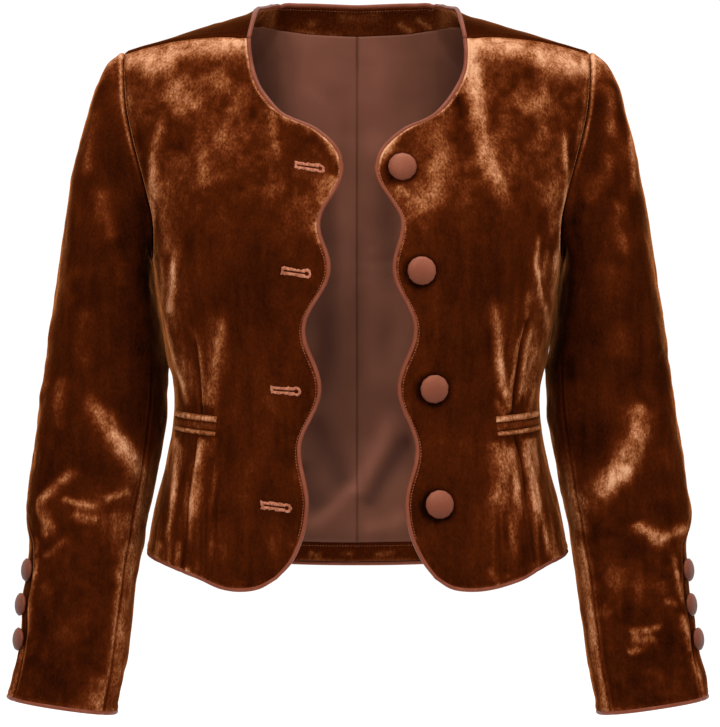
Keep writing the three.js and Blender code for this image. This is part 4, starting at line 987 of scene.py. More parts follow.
def backPlaces(inner, rowShares):
    s = np.concatenate([[0], inner, [1]])
    t = 1 - (1 - rowShares) ** backs["crowding"]
    angle = (s - 0.5) * math.pi
    fall = joins["hemBack"] + (joins["hemSide"] - joins["hemBack"]) * np.sin(angle) ** 2
    foot = np.stack([angle, fall], -1)
    seamEnd = overRidge(shoulderSeam(1, np.zeros(1)))[0]
    sideRows = [(joins["shoulder"][0][0], seamEnd[1])] + backs["neckSide"]

    def neckSide(hand, shares):
        across, level = np.moveaxis(smoothLine(sideRows, shares), -1, 0)
        ownLevel = np.where(level > ridgeLevel, 2 * ridgeLevel - level, level)
        return np.stack([angleAt(hand * across, ownLevel), level], -1)

    def neckBack(shares):
        lastAcross, lastLevel = backs["neckSide"][-1]
        across = lastAcross * (2 * shares - 1)
        level = backs["neckBack"] + (lastLevel - backs["neckBack"]) * (across / lastAcross) ** 2
        return np.stack([angleAt(across, level), level], -1)

    shoulderShare, cornerShare = backs["neckShares"]
    top = joinLines([
        (shoulderShare, lambda k: overRidge(shoulderSeam(-1, 1 - k))),
        (cornerShare - shoulderShare, lambda k: neckSide(-1, k)),
        (1 - 2 * cornerShare, neckBack),
        (cornerShare - shoulderShare, lambda k: neckSide(1, 1 - k)),
        (shoulderShare, lambda k: overRidge(shoulderSeam(1, k)))], s)

    def armhole(hand, shares):
        # The rows keep their spacing past the armpit
        run = np.sqrt(shares * (shares + 0.5) / 1.5) * (2 - tipShare)
        behind = armholePlace(hand, 1, np.minimum(run, 1))
        before = overRidge(armholePlace(hand, -1, 2 - np.maximum(run, 1)))
        return np.where((run <= 1)[..., None], behind, before)

    edges = [joinLines([
        (backs["sideShare"], lambda k, hand=hand: sideSeam(hand, k)),
        (1 - backs["sideShare"], lambda k, hand=hand: armhole(hand, k))], t) for hand in (-1, 1)]
    return blendPatch(foot, top, edges[0], edges[1], 1 - s, t ** 3)[:, 1:-1]


def makeBack():
    columns, rows = backs["grid"]
    s, t = np.linspace(0, 1, columns + 1), np.linspace(0, 1, rows + 1)
    places = backPlaces(s, t)
    flat, normals = torsoPoint(1, places), torsoNormal(1, places)
    distances = rimDistances(flat)
    shoulderShare = backs["neckShares"][0]
    onNeck = (s > shoulderShare) & (s < 1 - shoulderShare)
    topSeam = np.where(onNeck[None], 1e3, distances["top"])
    seams = np.minimum.reduce([distances["start"], distances["end"], topSeam])
    edges = np.minimum(distances["foot"], np.where(onNeck[None], distances["top"], 1e3))
    rise, pileAndPaintedLight = foldField(backs["folds"], flat[..., 0], flat[..., 2])
    behind = flat[..., 1] > 20
    rise, pileAndPaintedLight = rise * behind, pileAndPaintedLight * behind
    rise = (rise + unevenRise(flat, backs["unevenness"])) * smoothStep(seams, 0, 14) * smoothStep(edges, 0, 6)
    sides = np.minimum(distances["start"], distances["end"])
    rise = rise + meetRise(flat[..., 2], np.exp(-(sides / 16) ** 2))
    points = flat + normals * (rise + seamForm(seams) + 0.6 * np.exp(-((edges - 4) / 2.5) ** 2))[..., None]
    pileAndPaintedLight = backs["baseNap"] + pileAndPaintedLight * brokenPile(points) + 0.10 * softNoise(points, 30, 41) + pileStreaks(points, 43)
    # Painted highlight on the swell beside the seams and towards the shoulders; the seam lines themselves are dark
    pileAndPaintedLight += 0.14 * np.exp(-((seams - 4) / 2.5) ** 2)
    pileAndPaintedLight += 0.10 * smoothStep(points[..., 2], -100, -45) - 0.18 * np.exp(-(seams / 1.3) ** 2)
    # The yoke in front of the ridge lies smooth and dark
    yoke = smoothStep(-points[..., 1], -12, 6) * (points[..., 2] > -60)
    pileAndPaintedLight = pileAndPaintedLight * (1 - yoke) + yoke * (0.17 + 0.03 * softNoise(points, 14, 42) + 0.1 * np.exp(-((seams - 2.5) / 1.2) ** 2))
    clothPanelBack = clothPanel("back_velvet", points, normals, cloth["velvetWall"], [velvet, lining],
                                ["back"], pileAndPaintedLight)
    pieces = {"back": clothPanelBack}

    # A strip on the back's inner side, which follows the back's own folds
    def strip(name, sRange, tRange, grid, wall, materials, node, folds, pileAndPaintedLight, seam=None, stitchRow=0):
        inS = np.linspace(*sRange, grid[0] + 1)
        if seam:
            inS[1 if seam == "start" else -2] = 0.5 + (0.0016 if seam == "start" else -0.0016)
        seamShare = 1 - backs["facingShare"]
        reach = [share + 0.05 * side if abs(share - seamShare) < 1e-6 else share
                 for share, side in zip(tRange, (-1, 1))]
        inT = np.linspace(*reach, grid[1] * 2)
        calmed = sum(backPlaces(np.clip(inS + shift, 0, 1), inT) for shift in np.linspace(-0.035, 0.035, 9)) / 9
        # The neck facing's own top edge keeps to the neck line
        isNeck = tRange[1] > 0.99
        hold = np.clip((inT - seamShare) / (1 - seamShare), 0, 1)[:, None, None] if isNeck else 0.0
        inner = backPlaces(inS, inT) * hold + calmed * (1 - hold)
        ends = [np.full(len(inS), share) for share in tRange]
        if tRange[1] > 0.5:
            ends[0 if isNeck else 1] = evenSeam(inner, inT, seamShare)
        rows = np.linspace(0, 1, grid[1] + 1)[:, None]
        rows = ends[0] * (1 - rows) + ends[1] * rows
        inner = np.stack([np.stack([np.interp(row, inT, inner[:, j, k]) for j, row in enumerate(rows.T)], -1)
                          for k in (0, 1)], -1)
        base, outward = torsoPoint(1, inner), torsoNormal(1, inner)
        follow, _ = foldField(backs["folds"], base[..., 0], base[..., 2])
        follow = follow * (base[..., 1] > 20) + unevenRise(base, backs["unevenness"])
        own = rimDistances(base)
        if tRange[1] > 0.99:
            follow = follow * smoothStep(own["top"], 0, 6)
        if tRange[0] < 0.01:
            follow = follow * smoothStep(own["foot"], 0, 6)
        rise = follow - cloth["velvetWall"] - cloth["liningGap"] - wall
        inward, pale = foldField(folds, base[..., 0], base[..., 2])
        # Painted highlights and painted shade of the strip's own folds, over its base tone
        shade = pileAndPaintedLight + 0.05 * softNoise(base, 22, 61) + pale
        if seam:
            rise = rise + inward - 0.4 - 0.4 * softNoise(base, 24, 51)
            middle = 0 if seam == "start" else -1
            shade[:, middle] -= 0.14
            rise[:, middle] += 0.2
        points = base + outward * rise[..., None]
        if stitchRow:
            makeStitches(f"stitches_{name}", points[stitchRow], -outward[stitchRow])
        return clothPanel(name, points, -outward, wall, materials, [node], shade)

    facing, hemFacing, start = backs["facingShare"], backs["hemFacingShare"], backs["liningStart"]
    neckSpan = (shoulderShare - 0.02, 1 - shoulderShare + 0.02)
    pieces["facingNeck"] = strip("facing_velvet_neck", neckSpan, (1 - facing, 0.998), (160, 24),
                                 cloth["facingWall"], [velvet], "facing_back_neck",
                                 backs["facingFolds"], 0.34, stitchRow=21)
    pieces["facingHem"] = strip("facing_velvet_hem", (start, 1 - start), (0.004, hemFacing), (200, 10),
                                cloth["facingWall"], [velvet], "facing_back_hem",
                                backs["hemFolds"], 0.30, stitchRow=8)
    for name, span, seam in (("right", (start, 0.5), "end"), ("left", (0.5, 1 - start), "start")):
        pieces["lining" + name] = strip(
            f"lining_satin_back_{name}", span, (hemFacing, 1 - facing), (80, 130), cloth["liningWall"],
            [paintedLining], f"lining_back_{name}", backs["liningFolds"], 0.06, seam)

    def pipe(name, chosen, node):
        line = np.array([point - normal * cloth["velvetWall"] / 2 for point, normal in chosen])
        guide = np.array([normal for _, normal in chosen])
        return tubePiece(name, line, guide, cloth["pipingRadius"], cloth["pipingSides"], False,
                         [pipingSatin], [node])

    neckS = np.linspace(shoulderShare, 1 - shoulderShare, 121)
    neckPlaces = backPlaces(neckS, np.ones(1))[0]
    pieces["pipingNeck"] = pipe("piping_satin_back_neck",
                                list(zip(torsoPoint(1, neckPlaces), torsoNormal(1, neckPlaces))),
                                "piping_back_neck")
    pieces["pipingHem"] = pipe("piping_satin_back_hem", list(zip(points[0], normals[0])), "piping_back_hem")
    return pieces


# Sleeves: turn runs from the front (0) over the outer side (90) to the back (180)
sleeves = {
    "grid": {"top": 100, "under": 70, "along": 270}, "exponent": 2.2,
    # height, near side, far side, middle, half depth, tilt
    "rows": [
        (-235, 169.2, 250.5, 3, 60, 0), (-270, 164.5, 255.5, 3, 59, 0.01), (-305, 159.5, 263, 2, 57, 0.03),
        (-345, 161.5, 266.5, 0, 55, 0.06), (-385, 168, 273, -2, 53, 0.09), (-425, 175.5, 278, -5, 50, 0.11),
        (-465, 182.5, 279.5, -8, 47, 0.12), (-505, 188, 282, -11, 43, 0.13), (-545, 193, 287, -14, 40, 0.14),
        (-582, 200.5, 292, -16, 37, 0.15)],
    "capShare": 5 / 22, "capReach": 0.42, "capInset": 1.2, "capOutset": 0.3,
    "capLeave": (-0.25, 0.05), "capAxis": (185, 3),
    "frontSeam": -50, "backSeam": [(-212, 100), (-380, 98), (-420, 90), (-455, 62), (-600, 56)],
    "mapRadius": 48,
    "unevenness": [(40, 1.4, 71), (18, 1.0, 72), (7.5, 0.35, 73)],
    "crumples": {
        -1: [(-398, -322, 15, 5), (-352, -292, 14, -3.5), (-440, -405, 14, 3.5), (-480, -505, 16, 2.6)],
        1: [(-412, -328, 15, 5), (-362, -290, 14, -3.5), (-445, -428, 14, 3.8), (-490, -522, 16, 2.6)],
    },
    "baseNap": 0.215,
    # How far the outer side stands out from the plain form, by height
    "outline": {
        -1: [(-40, 3.4), (-53, 1.7), (-70, 0.6), (-93, 0.4), (-113, 2.3), (-150, 3.2), (-194, 1.8), (-220, 1),
             (-255, 2.5), (-285, 3.2), (-297, 1.2), (-306, -2), (-315, -4.2), (-327, -2), (-345, 0.8), (-365, 0),
             (-386, -1.7), (-402, -4), (-418, -1.8), (-434, -2.6), (-448, -5), (-469, -5.2), (-498, -3.8),
             (-527, -4.6), (-558, -2.8), (-576, 0)],
        1: [(-40, 3.4), (-55, 2.6), (-73, 1.2), (-93, 1.2), (-124, 3.2), (-154, 1.7), (-190, 3.4), (-234, 2.5),
            (-268, 3.6), (-285, 4.2), (-296, 1.6), (-308, -0.4), (-325, -2.5), (-340, 0.2), (-355, 1.7),
            (-390, 1.4), (-420, 0), (-436, -0.8), (-448, -3.4), (-469, -3.2), (-500, -3), (-533, -1.6),
            (-562, 1), (-580, 1.2)],
    },
    # Folds run in (turn, height)
    "folds": {
        -1: [
            # painted highlight on the top of the sleeve head and down its outer side
            (7, 0, 0.40, [(82, -44), (80, -52), (74, -70)], (0, 0.5)),
            (5, 0, 0.30, [(84, -60), (82, -110), (80, -150)], (0, 0.5)),
            (5, 0.8, 0.16, [(40, -64), (38, -84)]),
            (7, 1.2, 0.22, [(62, -82), (57, -108), (50, -132), (38, -146)]),
            (7, 1.0, 0.20, [(22, -150), (12, -168), (0, -188), (-10, -200)]),
            (9, 0, 0.10, [(-20, -212), (-20, -236)]),
            (8, 0, 0.12, [(26, -216), (44, -232), (34, -252)]),
            (8, 0.8, 0.16, [(18, -248), (18, -280), (12, -306)]),
            (9, 0.6, 0.26, [(80, -250), (76, -290), (66, -330)]),
            # painted shade down the front of the sleeve towards the body
            (20, 0, -0.10, [(-30, -160), (-46, -215), (-46, -300)], (0, 0)),
            (14, -1.0, -0.08, [(-12, -326), (-26, -345), (-38, -360)]),
            # elbow: the great fold, with two smaller ones below it
            (13, 0, 0.12, [(4, -330), (-16, -360), (-40, -386), (-50, -410)]),
            (12, 0, 0.10, [(-44, -400), (-20, -418), (10, -412)]),
            (7, 3.0, 0.44, [(12, -316), (2, -336), (-8, -350), (-18, -362), (-33, -376), (-43, -388), (-50, -404)],
             (0.25, 0.2)),
            (5, 0.6, 0.16, [(-18, -358), (-30, -372), (-36, -380)]),
            (7, 1.4, 0.22, [(42, -306), (37, -330), (30, -356)]),
            (5, 2.4, 0.38, [(6, -383), (18, -392), (29, -400), (40, -410), (41, -419), (34, -428), (27, -434),
                            (22, -444)], (0.12, 0.2)),
            (8, 0.8, 0.14, [(38, -404), (30, -424), (24, -438)]),
            (2.6, 1.2, 0.36, [(21, -408), (8, -412), (-2, -415), (-14, -416)], (0.2, 0.3)),
            (3.4, 1.2, 0.34, [(-14, -411), (-24, -407), (-34, -405), (-44, -404)], (0.2, 0.3)),
            (4, 0.8, 0.22, [(8, -420), (0, -425), (-14, -427)]),
            (12, 0.6, 0.22, [(-30, -416), (-36, -440), (-42, -462)]),
            (6, 0.4, 0.22, [(-42, -452), (-45, -500), (-46, -540), (-42, -578)], (0.1, 0)),
            (8, 0, 0.20, [(-34, -550), (-36, -578)], (0.4, 0)),
            (4, 1.0, 0.26, [(50, -440), (52, -458)]),
            (3.4, 1.0, 0.24, [(40, -459), (24, -453), (8, -440)]),
            (5, 0.6, 0.22, [(44, -436), (30, -440)]),
            # gathered by the cuff buttons
            (4, 1.0, 0.34, [(50, -455), (49, -480), (50, -505), (50, -530)], (0.1, 0.2)),
            (3, 0.8, 0.20, [(44, -470), (52, -476)]),
            (3, 0.8, 0.20, [(42, -500), (52, -505)]),
            (7, 0.6, 0.34, [(58, -528), (62, -550), (66, -574)], (0.2, 0)),
            (9, 0, 0.12, [(34, -478), (26, -492)]),
            (8, 0, 0.12, [(44, -528), (38, -540)]),
            (10, 0, 0.08, [(0, -500), (10, -530), (0, -560)]),
            # inner and hidden sides
            (6, -2.2, -0.10, [(150, -350), (180, -380), (215, -392)]),
            (6, 2.2, 0.32, [(140, -400), (175, -415), (220, -402)]),
            (6, 1.8, 0.30, [(130, -330), (165, -352), (205, -360)]),
            (8, 1.4, 0.22, [(150, -120), (160, -180), (150, -250)]),
            (7, 1.4, 0.26, [(120, -460), (150, -470), (190, -460)]),
            (8, 1.2, 0.20, [(120, -520), (160, -535), (200, -530)]),
        ],
        1: [
            # painted highlight on the top of the sleeve head and down its outer side
            (7, 0, 0.40, [(82, -44), (80, -52), (76, -70)], (0, 0.5)),
            (5, 0, 0.30, [(84, -60), (82, -120), (80, -180)], (0, 0.5)),
            (5, 1.0, 0.26, [(64, -62), (57, -82), (44, -102), (36, -112)]),
            (4.2, 1.2, 0.42, [(76, -84), (70, -100), (62, -118), (58, -134), (53, -148), (42, -160)], (0.25, 0.2)),
            (7, 0.8, 0.16, [(34, -118), (20, -139), (4, -152), (-15, -168)]),
            (7, 1.0, 0.22, [(28, -160), (15, -180), (17, -196), (15, -212)]),
            (9, 0, 0.10, [(6, -214), (2, -244)]),
            (9, 0, 0.08, [(10, -260), (6, -296)]),
            # painted shade down the front of the sleeve towards the body
            (24, 0, -0.13, [(-40, -190), (-62, -230), (-62, -320)], (0, 0.1)),
            (14, -1.0, -0.08, [(-10, -330), (-20, -356), (-36, -376)]),
            (6, 0.6, 0.24, [(76, -286), (72, -320), (64, -350)]),
            # elbow: the great fold, with another across the outer side
            (15, 0, 0.13, [(24, -330), (6, -372), (-24, -404), (-46, -430)]),
            (13, 0, 0.10, [(10, -436), (44, -444), (64, -452)]),
            (12, 0, 0.08, [(-30, -470), (-6, -486), (20, -490)]),
            (8, 3.0, 0.42, [(30, -326), (19, -340), (15, -354), (9, -366), (2, -379), (-6, -390), (-16, -397),
                            (-28, -404), (-40, -412)], (0.15, 0.2)),
            (6.5, 0.8, 0.22, [(3, -380), (-8, -391), (-20, -399)]),
            (10, 0.8, 0.20, [(-40, -404), (-48, -420), (-50, -440)]),
            (8, 0.6, 0.10, [(36, -366), (44, -390)]),
            (5, 2.6, 0.46, [(0, -428), (6, -434), (13, -438), (22, -442), (36, -438), (55, -436), (70, -434)],
             (0.06, 0.2)),
            (7, 0.6, 0.16, [(10, -440), (24, -448), (40, -446)]),
            # gathered by the cuff buttons
            (4.5, 1.0, 0.34, [(44, -452), (42, -466), (47, -482), (52, -500)], (0.2, 0.2)),
            (5, 1.0, 0.36, [(42, -502), (46, -520), (50, -540)], (0.2, 0.2)),
            (7, 0.8, 0.38, [(52, -536), (58, -556), (62, -576)], (0.2, 0)),
            (3, 0.8, 0.26, [(20, -494), (32, -496), (44, -497)]),
            (5, 0.6, 0.20, [(22, -476), (26, -490)]),
            (3, 0.6, 0.20, [(40, -470), (50, -474)]),
            (2.6, 1.0, 0.42, [(-15, -518), (-4, -518), (8, -516), (20, -513)], (0.15, 0.25)),
            (7, 0.6, 0.28, [(-12, -522), (0, -526), (10, -522)]),
            (2.6, 0.8, 0.36, [(-18, -537), (-5, -534), (0, -532)], (0.2, 0.3)),
            (13, 0.4, 0.14, [(-34, -470), (-14, -484)]),
            (10, 0, 0.12, [(-38, -496), (-28, -506)]),
            (6, 0.4, 0.20, [(-54, -440), (-56, -500), (-54, -578)], (0.1, 0)),
            (9, 0, 0.08, [(10, -548), (-6, -566)]),
            (6, -2.2, -0.10, [(150, -352), (180, -385), (215, -396)]),
            (6, 2.2, 0.32, [(140, -405), (175, -418), (220, -408)]),
            (6, 1.8, 0.30, [(132, -334), (168, -355), (208, -366)]),
            (8, 1.4, 0.22, [(150, -125), (162, -185), (150, -255)]),
            (7, 1.4, 0.26, [(122, -465), (155, -474), (195, -462)]),
            (8, 1.2, 0.20, [(120, -524), (160, -538), (200, -532)]),
        ],
    },
}


def sleeveRing(hand, turn, height):
    inner, outer, middle, depth, tilt = [readTable(sleeves["rows"], height, k) for k in range(1, 6)]
    reach = (outer - inner) / 2 * signedPower(np.sin(turn), 2 / sleeves["exponent"])
    out = depth * signedPower(np.cos(turn), 2 / sleeves["exponent"])
    return np.stack([hand * ((outer + inner) / 2 + reach), middle - out, height + tilt * reach], -1)


def crumpleRise(hand, turn, height):
    outward = (1 + np.sin(turn)) / 2
    front = 0.35 + 0.65 * np.maximum(0, np.cos(turn - 0.3))
    total = np.zeros(np.broadcast(turn, height).shape)
    for inner, outer, width, rise in sleeves["crumples"][hand]:
        off = (height - (inner + (outer - inner) * outward)) / width
        total += rise * np.exp(-off * off) * front * np.sqrt(outward)
    return total


def capLoop(hand, turn):
    share = (np.arcsin(np.clip(np.sin(turn), -1, 1)) + math.pi / 2) / math.pi
    side = np.where(np.cos(turn) >= 0, -1, 1)
    return torsoPoint(side, armholePlace(hand, side, share))


def sleeveBase(hand, turn, share):
    share = np.broadcast_to(share, turn.shape)
    biceps, cuff = sleeves["rows"][0][0], sleeves["rows"][-1][0]
    cap = sleeves["capShare"]
    height = biceps + (cuff - biceps) * np.clip((share - cap) / (1 - cap), 0, 1)
    ring = sleeveRing(hand, turn, height)
    axis = (sleeveRing(hand, math.pi / 2, height) + sleeveRing(hand, -math.pi / 2, height)) / 2
    lower = ring + unit(ring - axis) * crumpleRise(hand, turn, height)[..., None]
    t = np.clip(share / cap, 0, 1)[..., None]
    top = float(readTable(torso["ridge"], sleeves["capAxis"][0]))
    middle = np.array([0, sleeves["capAxis"][1], (joins["armpitLevel"] + top) / 2])
    loop = capLoop(hand, turn)
    inward = middle - loop
    inward[..., 0] = 0
    start = loop + unit(inward) * sleeves["capInset"]
    start[..., 0] += hand * sleeves["capOutset"]
    end = sleeveRing(hand, turn, np.full(turn.shape, float(biceps)))
    reach = np.linalg.norm(start - end, axis=-1, keepdims=True)
    out, up = sleeves["capLeave"]
    leave = unit(np.stack([np.full(turn.shape, float(hand)), out * np.cos(turn), np.full(turn.shape, up)], -1))
    arrive = unit(sleeveRing(hand, turn, np.full(turn.shape, biceps - 1.0)) - end) * reach
    upper = ((2 * t ** 3 - 3 * t * t + 1) * start + (t ** 3 - 2 * t * t + t) * leave * reach * sleeves["capReach"]
             + (3 * t * t - 2 * t ** 3) * end + (t ** 3 - t * t) * arrive)
    return np.where((share > cap)[..., None], lower, upper)


def sleeveNormal(hand, turn, share):
    reach = 0.02
    around = sleeveBase(hand, turn + reach, share) - sleeveBase(hand, turn - reach, share)
    down = (sleeveBase(hand, turn, np.minimum(1, share + reach / 4))
            - sleeveBase(hand, turn, np.maximum(0, share - reach / 4)))
    return unit(np.cross(down, around) * hand)


def backSeamTurn(share):
    cap = sleeves["capShare"]
    biceps, cuff = sleeves["rows"][0][0], sleeves["rows"][-1][0]
    height = biceps + (cuff - biceps) * np.clip((share - cap) / (1 - cap), 0, 1)
    return degrees * readTable(sleeves["backSeam"], height)


def sleeveForm(hand, turn, share):
    base, normals = sleeveBase(hand, turn, share), sleeveNormal(hand, turn, share)
    # Turns past the hidden inner side are read as from the front
    flatTurn = np.where(turn > 262 * degrees, turn - 2 * math.pi, turn) * sleeves["mapRadius"]
    folds = [(width, height, pale, [(angle * degrees * sleeves["mapRadius"], up) for angle, up in line], *ends)
             for width, height, pale, line, *ends in sleeves["folds"][hand]]
    rise, pileAndPaintedLight = foldField(folds, flatTurn, base[..., 2])
    rise = rise + unevenRise(base, sleeves["unevenness"])
    outward = np.maximum(0, np.sin(turn)) ** 1.5 * smoothStep(share, 0, 0.06)
    base[..., 0] += hand * outward * readTable(sleeves["outline"][hand], base[..., 2])
    return base, normals, rise, pileAndPaintedLight


def makeSleeve(hand, name):
    along = np.linspace(0, 1, sleeves["grid"]["along"] + 1)
    frontTurn = degrees * sleeves["frontSeam"]
    backTurn = backSeamTurn(along)[:, None]
    spans = {
        "top": (frontTurn, backTurn), "under": (backTurn, frontTurn + 2 * math.pi)}
    pieces, cuffs = {}, []
    for part, (first, last) in spans.items():
        s = np.linspace(0, 1, sleeves["grid"][part] + 1)[None]
        turn = first + (last - first) * s
        turn = np.broadcast_to(turn, (len(along), s.shape[1])).copy()
        share = np.broadcast_to(along[:, None], turn.shape)
        base, normals, rise, pileAndPaintedLight = sleeveForm(hand, turn, share)
        distances = rimDistances(base)
        sides = np.minimum(distances["start"], distances["end"])
        head = distances["foot"]
        cuff = distances["top"]
        rise = rise * smoothStep(np.minimum(sides, head), 0, 10) * smoothStep(cuff, 0, 8)
        up = base[..., 2]
        seamShows = smoothStep(-up, 280, 330)
        rise += seamForm(sides, 0.5, 0.25) * seamShows + 1.0 * np.exp(-((head - 3) / 2.2) ** 2)
        rise += 0.6 * np.exp(-((cuff - 4) / 2.5) ** 2)
        inner = np.exp(-((np.degrees(turn) % 360 - 270) / 42) ** 2)
        rise += meetRise(up, inner)
        spots = softNoise(base, 2.6, 82)
        pileAndPaintedLight = sleeves["baseNap"] + pileAndPaintedLight * brokenPile(base) + 0.06 * softNoise(base, 28, 81)
        pileAndPaintedLight += pileStreaks(base, 84) + 0.04 * softNoise(base, 11, 86)
        # Painted highlight on the swell beside the seams, with a dark seam line, where the seams show from below the
        # armpit
        pileAndPaintedLight += seamShows * (0.10 * np.exp(-((sides - 3) / 1.6) ** 2) - 0.14 * np.exp(-(sides / 0.9) ** 2))
        # The sleeve head's rim is painted pale down to the armpit, a painted highlight that spreads over the top of the
        # head; below the armpit the inner side is in painted deep shade
        pileAndPaintedLight += 0.38 * np.exp(-((head - 2.8) / 1.5) ** 2) * smoothStep(up, -160, -110)
        pileAndPaintedLight += 0.34 * np.exp(-(head / 12) ** 2) * smoothStep(up, -86, -50) * (0.8 + 0.4 * softNoise(base, 6, 88))
        pileAndPaintedLight -= 0.14 * np.exp(-(head / 0.8) ** 2)
        pileAndPaintedLight -= 0.14 * inner * smoothStep(-up, 130, 170) * (1 - smoothStep(-up, 330, 400))
        low = smoothStep(-up, 400, 440)
        pileAndPaintedLight += low * (0.10 * np.maximum(0, softNoise(base, 15, 83)) + 0.06 * softNoise(base, 6, 87) - 0.02)
        # The strip inside the front seam is drawn paler from the elbow down
        paleStrip = smoothStep(-up, 330, 420) * np.exp(-((np.degrees(turn) % 360 - 297) / 14) ** 2)
        pileAndPaintedLight += paleStrip * (0.32 + 0.12 * softNoise(base * np.array([1, 1, 0.2]), 5, 89))
        # A painted highlight on the rim where the velvet turns over the cuff piping, broken by the pile
        pileAndPaintedLight += (0.20 + 0.12 * spots) * np.exp(-((cuff - 2.4) / 1.1) ** 2)
        points = base + normals * rise[..., None]
        pieces[part] = clothPanel(f"sleeve_velvet_{part}_{name}", points, normals, cloth["velvetWall"],
                                  [velvet, lining], [f"sleeve_{part}_{name}"], pileAndPaintedLight,
                                  flushSides=True)
        cuffs.append((points[-1], normals[-1]))
    line = np.vstack([cuffs[0][0][:-1], cuffs[1][0][:-1]])
    guide = np.vstack([cuffs[0][1][:-1], cuffs[1][1][:-1]])
    pieces["piping"] = tubePiece(
        f"piping_satin_cuff_{name}", line - guide * cloth["velvetWall"] / 2, guide, cloth["pipingRadius"],
        cloth["pipingSides"], True, [pipingSatin], [f"piping_cuff_{name}"])
    return pieces


# Covered buttons
buttons = {
    "front": [(36.9, -138.4), (52.2, -222.9), (62.5, -318.3), (66.7, -412.3)],
    "radius": 11.6, "height": 5.0,
    "cuffHeights": [-475, -504, -533], "cuffAngle": 66, "cuffRadius": 9.6, "cuffHeight": 4.6,
    "cuffTilt": (-0.5, 0.1),
    "seat": 0.9, "gap": 0.3, "sides": 40, "shade": 0.3, "cuffDim": 0.22,
}


def makeButton(name, radius, height, point, normal, node, seed, dim=0.0):
    seat, gap = buttons["seat"], buttons["gap"]
    form = bmesh.new()
    profile = [(0, gap), (0.38, gap), (0.40, seat + 0.2), (0.80, seat + 0.1), (0.93, seat + 0.35),
               (1.0, seat + height * 0.30), (0.985, seat + height * 0.46), (0.9, seat + height * 0.66),
               (0.74, seat + height * 0.84), (0.5, seat + height * 0.95), (0.25, seat + height * 0.99),
               (0, seat + height)]
    corners = [bmesh.ops.create_vert(form, co=(share * radius, 0, rise))["vert"][0] for share, rise in profile]
    for first, second in zip(corners[:-1], corners[1:]):
        form.edges.new((first, second))
    bmesh.ops.subdivide_edges(form, edges=form.edges[:], cuts=1)
    bmesh.ops.spin(form, geom=form.verts[:] + form.edges[:], cent=(0, 0, 0), axis=(0, 0, 1), dvec=(0, 0, 0),
                   angle=2 * math.pi, steps=buttons["sides"], use_merge=True)
    bmesh.ops.remove_doubles(form, verts=form.verts, dist=1e-4)
    bmesh.ops.recalc_face_normals(form, faces=form.faces)
    # The satin is gathered under the rim and pulls small creases up the side
    turns = 11 + seed % 3
    for vertex in form.verts:
        x, y, z = vertex.co
        reach = math.hypot(x, y) / radius
        if reach > 0.6:
            pull = math.sin(turns * math.atan2(y, x) + seed) * 0.14 * (reach - 0.6) / 0.4
            vertex.co += Vector((x, y, 0)) * (pull / radius / reach)
    shade = form.verts.layers.float.new("pileAndPaintedLight")
    turn = Vector((0, 0, 1)).rotation_difference(Vector(normal)).to_matrix().to_4x4()
    bmesh.ops.transform(form, matrix=turn, verts=form.verts)
    # Painted light: the satin is drawn paler on the side turned up and darker on the side turned down, as if lit from
    # above; cuff buttons are drawn darker all over
    for vertex in form.verts:
        vertex[shade] = buttons["shade"] * vertex.co.z / radius - dim
    bmesh.ops.translate(form, vec=Vector(point), verts=form.verts)
    bmesh.ops.scale(form, vec=(metres, metres, metres), verts=form.verts)
    return finishPiece(name, form, [buttonSatin], [node])


def frontSpot(hand, across, height):
    places = placeOf(np.array([[hand * across]]), np.array([[height]]))
    points, normals, _, _ = frontForm(hand, places)
    return points[0, 0], normals[0, 0]


def makeButtons():
    for i, (across, height) in enumerate(buttons["front"]):
        point, normal = frontSpot(1, across, height)
        makeButton(f"front_satin_button_{i + 1}", buttons["radius"], buttons["height"], point, normal,
                   f"front_button_{i + 1}", i + 1)
    for hand, name in ((-1, "right"), (1, "left")):
        for i, height in enumerate(buttons["cuffHeights"]):
            turn = np.array([[degrees * buttons["cuffAngle"]]])
            biceps, cuff = sleeves["rows"][0][0], sleeves["rows"][-1][0]
            share = sleeves["capShare"] + (1 - sleeves["capShare"]) * (height - biceps) / (cuff - biceps)
            base, outward, rise, _ = sleeveForm(hand, turn, np.array([[share]]))
            normal = unit(np.array([hand, buttons["cuffTilt"][0], buttons["cuffTilt"][1]], float))
            point = (base + outward * rise[..., None])[0, 0] + normal * buttons["gap"]
            makeButton(f"cuff_satin_button_{name}_{i + 1}", buttons["cuffRadius"], buttons["cuffHeight"],
                       point, normal, f"cuff_button_{name}_{i + 1}", 5 + i + (3 if hand > 0 else 0),
                       buttons["cuffDim"])


# Worked buttonholes: a keyhole loop of thread on the right front
holes = {
    # across, height, fall towards the front edge
    "rows": [(38.4, -138.1, 0.15), (49.1, -224.1, 0.14), (57.6, -319.9, 0.07), (65.4, -414, 0.12)],
    "length": 25, "width": 6.4, "bar": 2.4, "slit": 1.2, "eye": 8, "eyeSlit": 3.2, "eyeTurn": 120,
    "lift": 0.2, "bulge": 0.8, "stitchMm": 1.0, "roughness": 1.0,
}


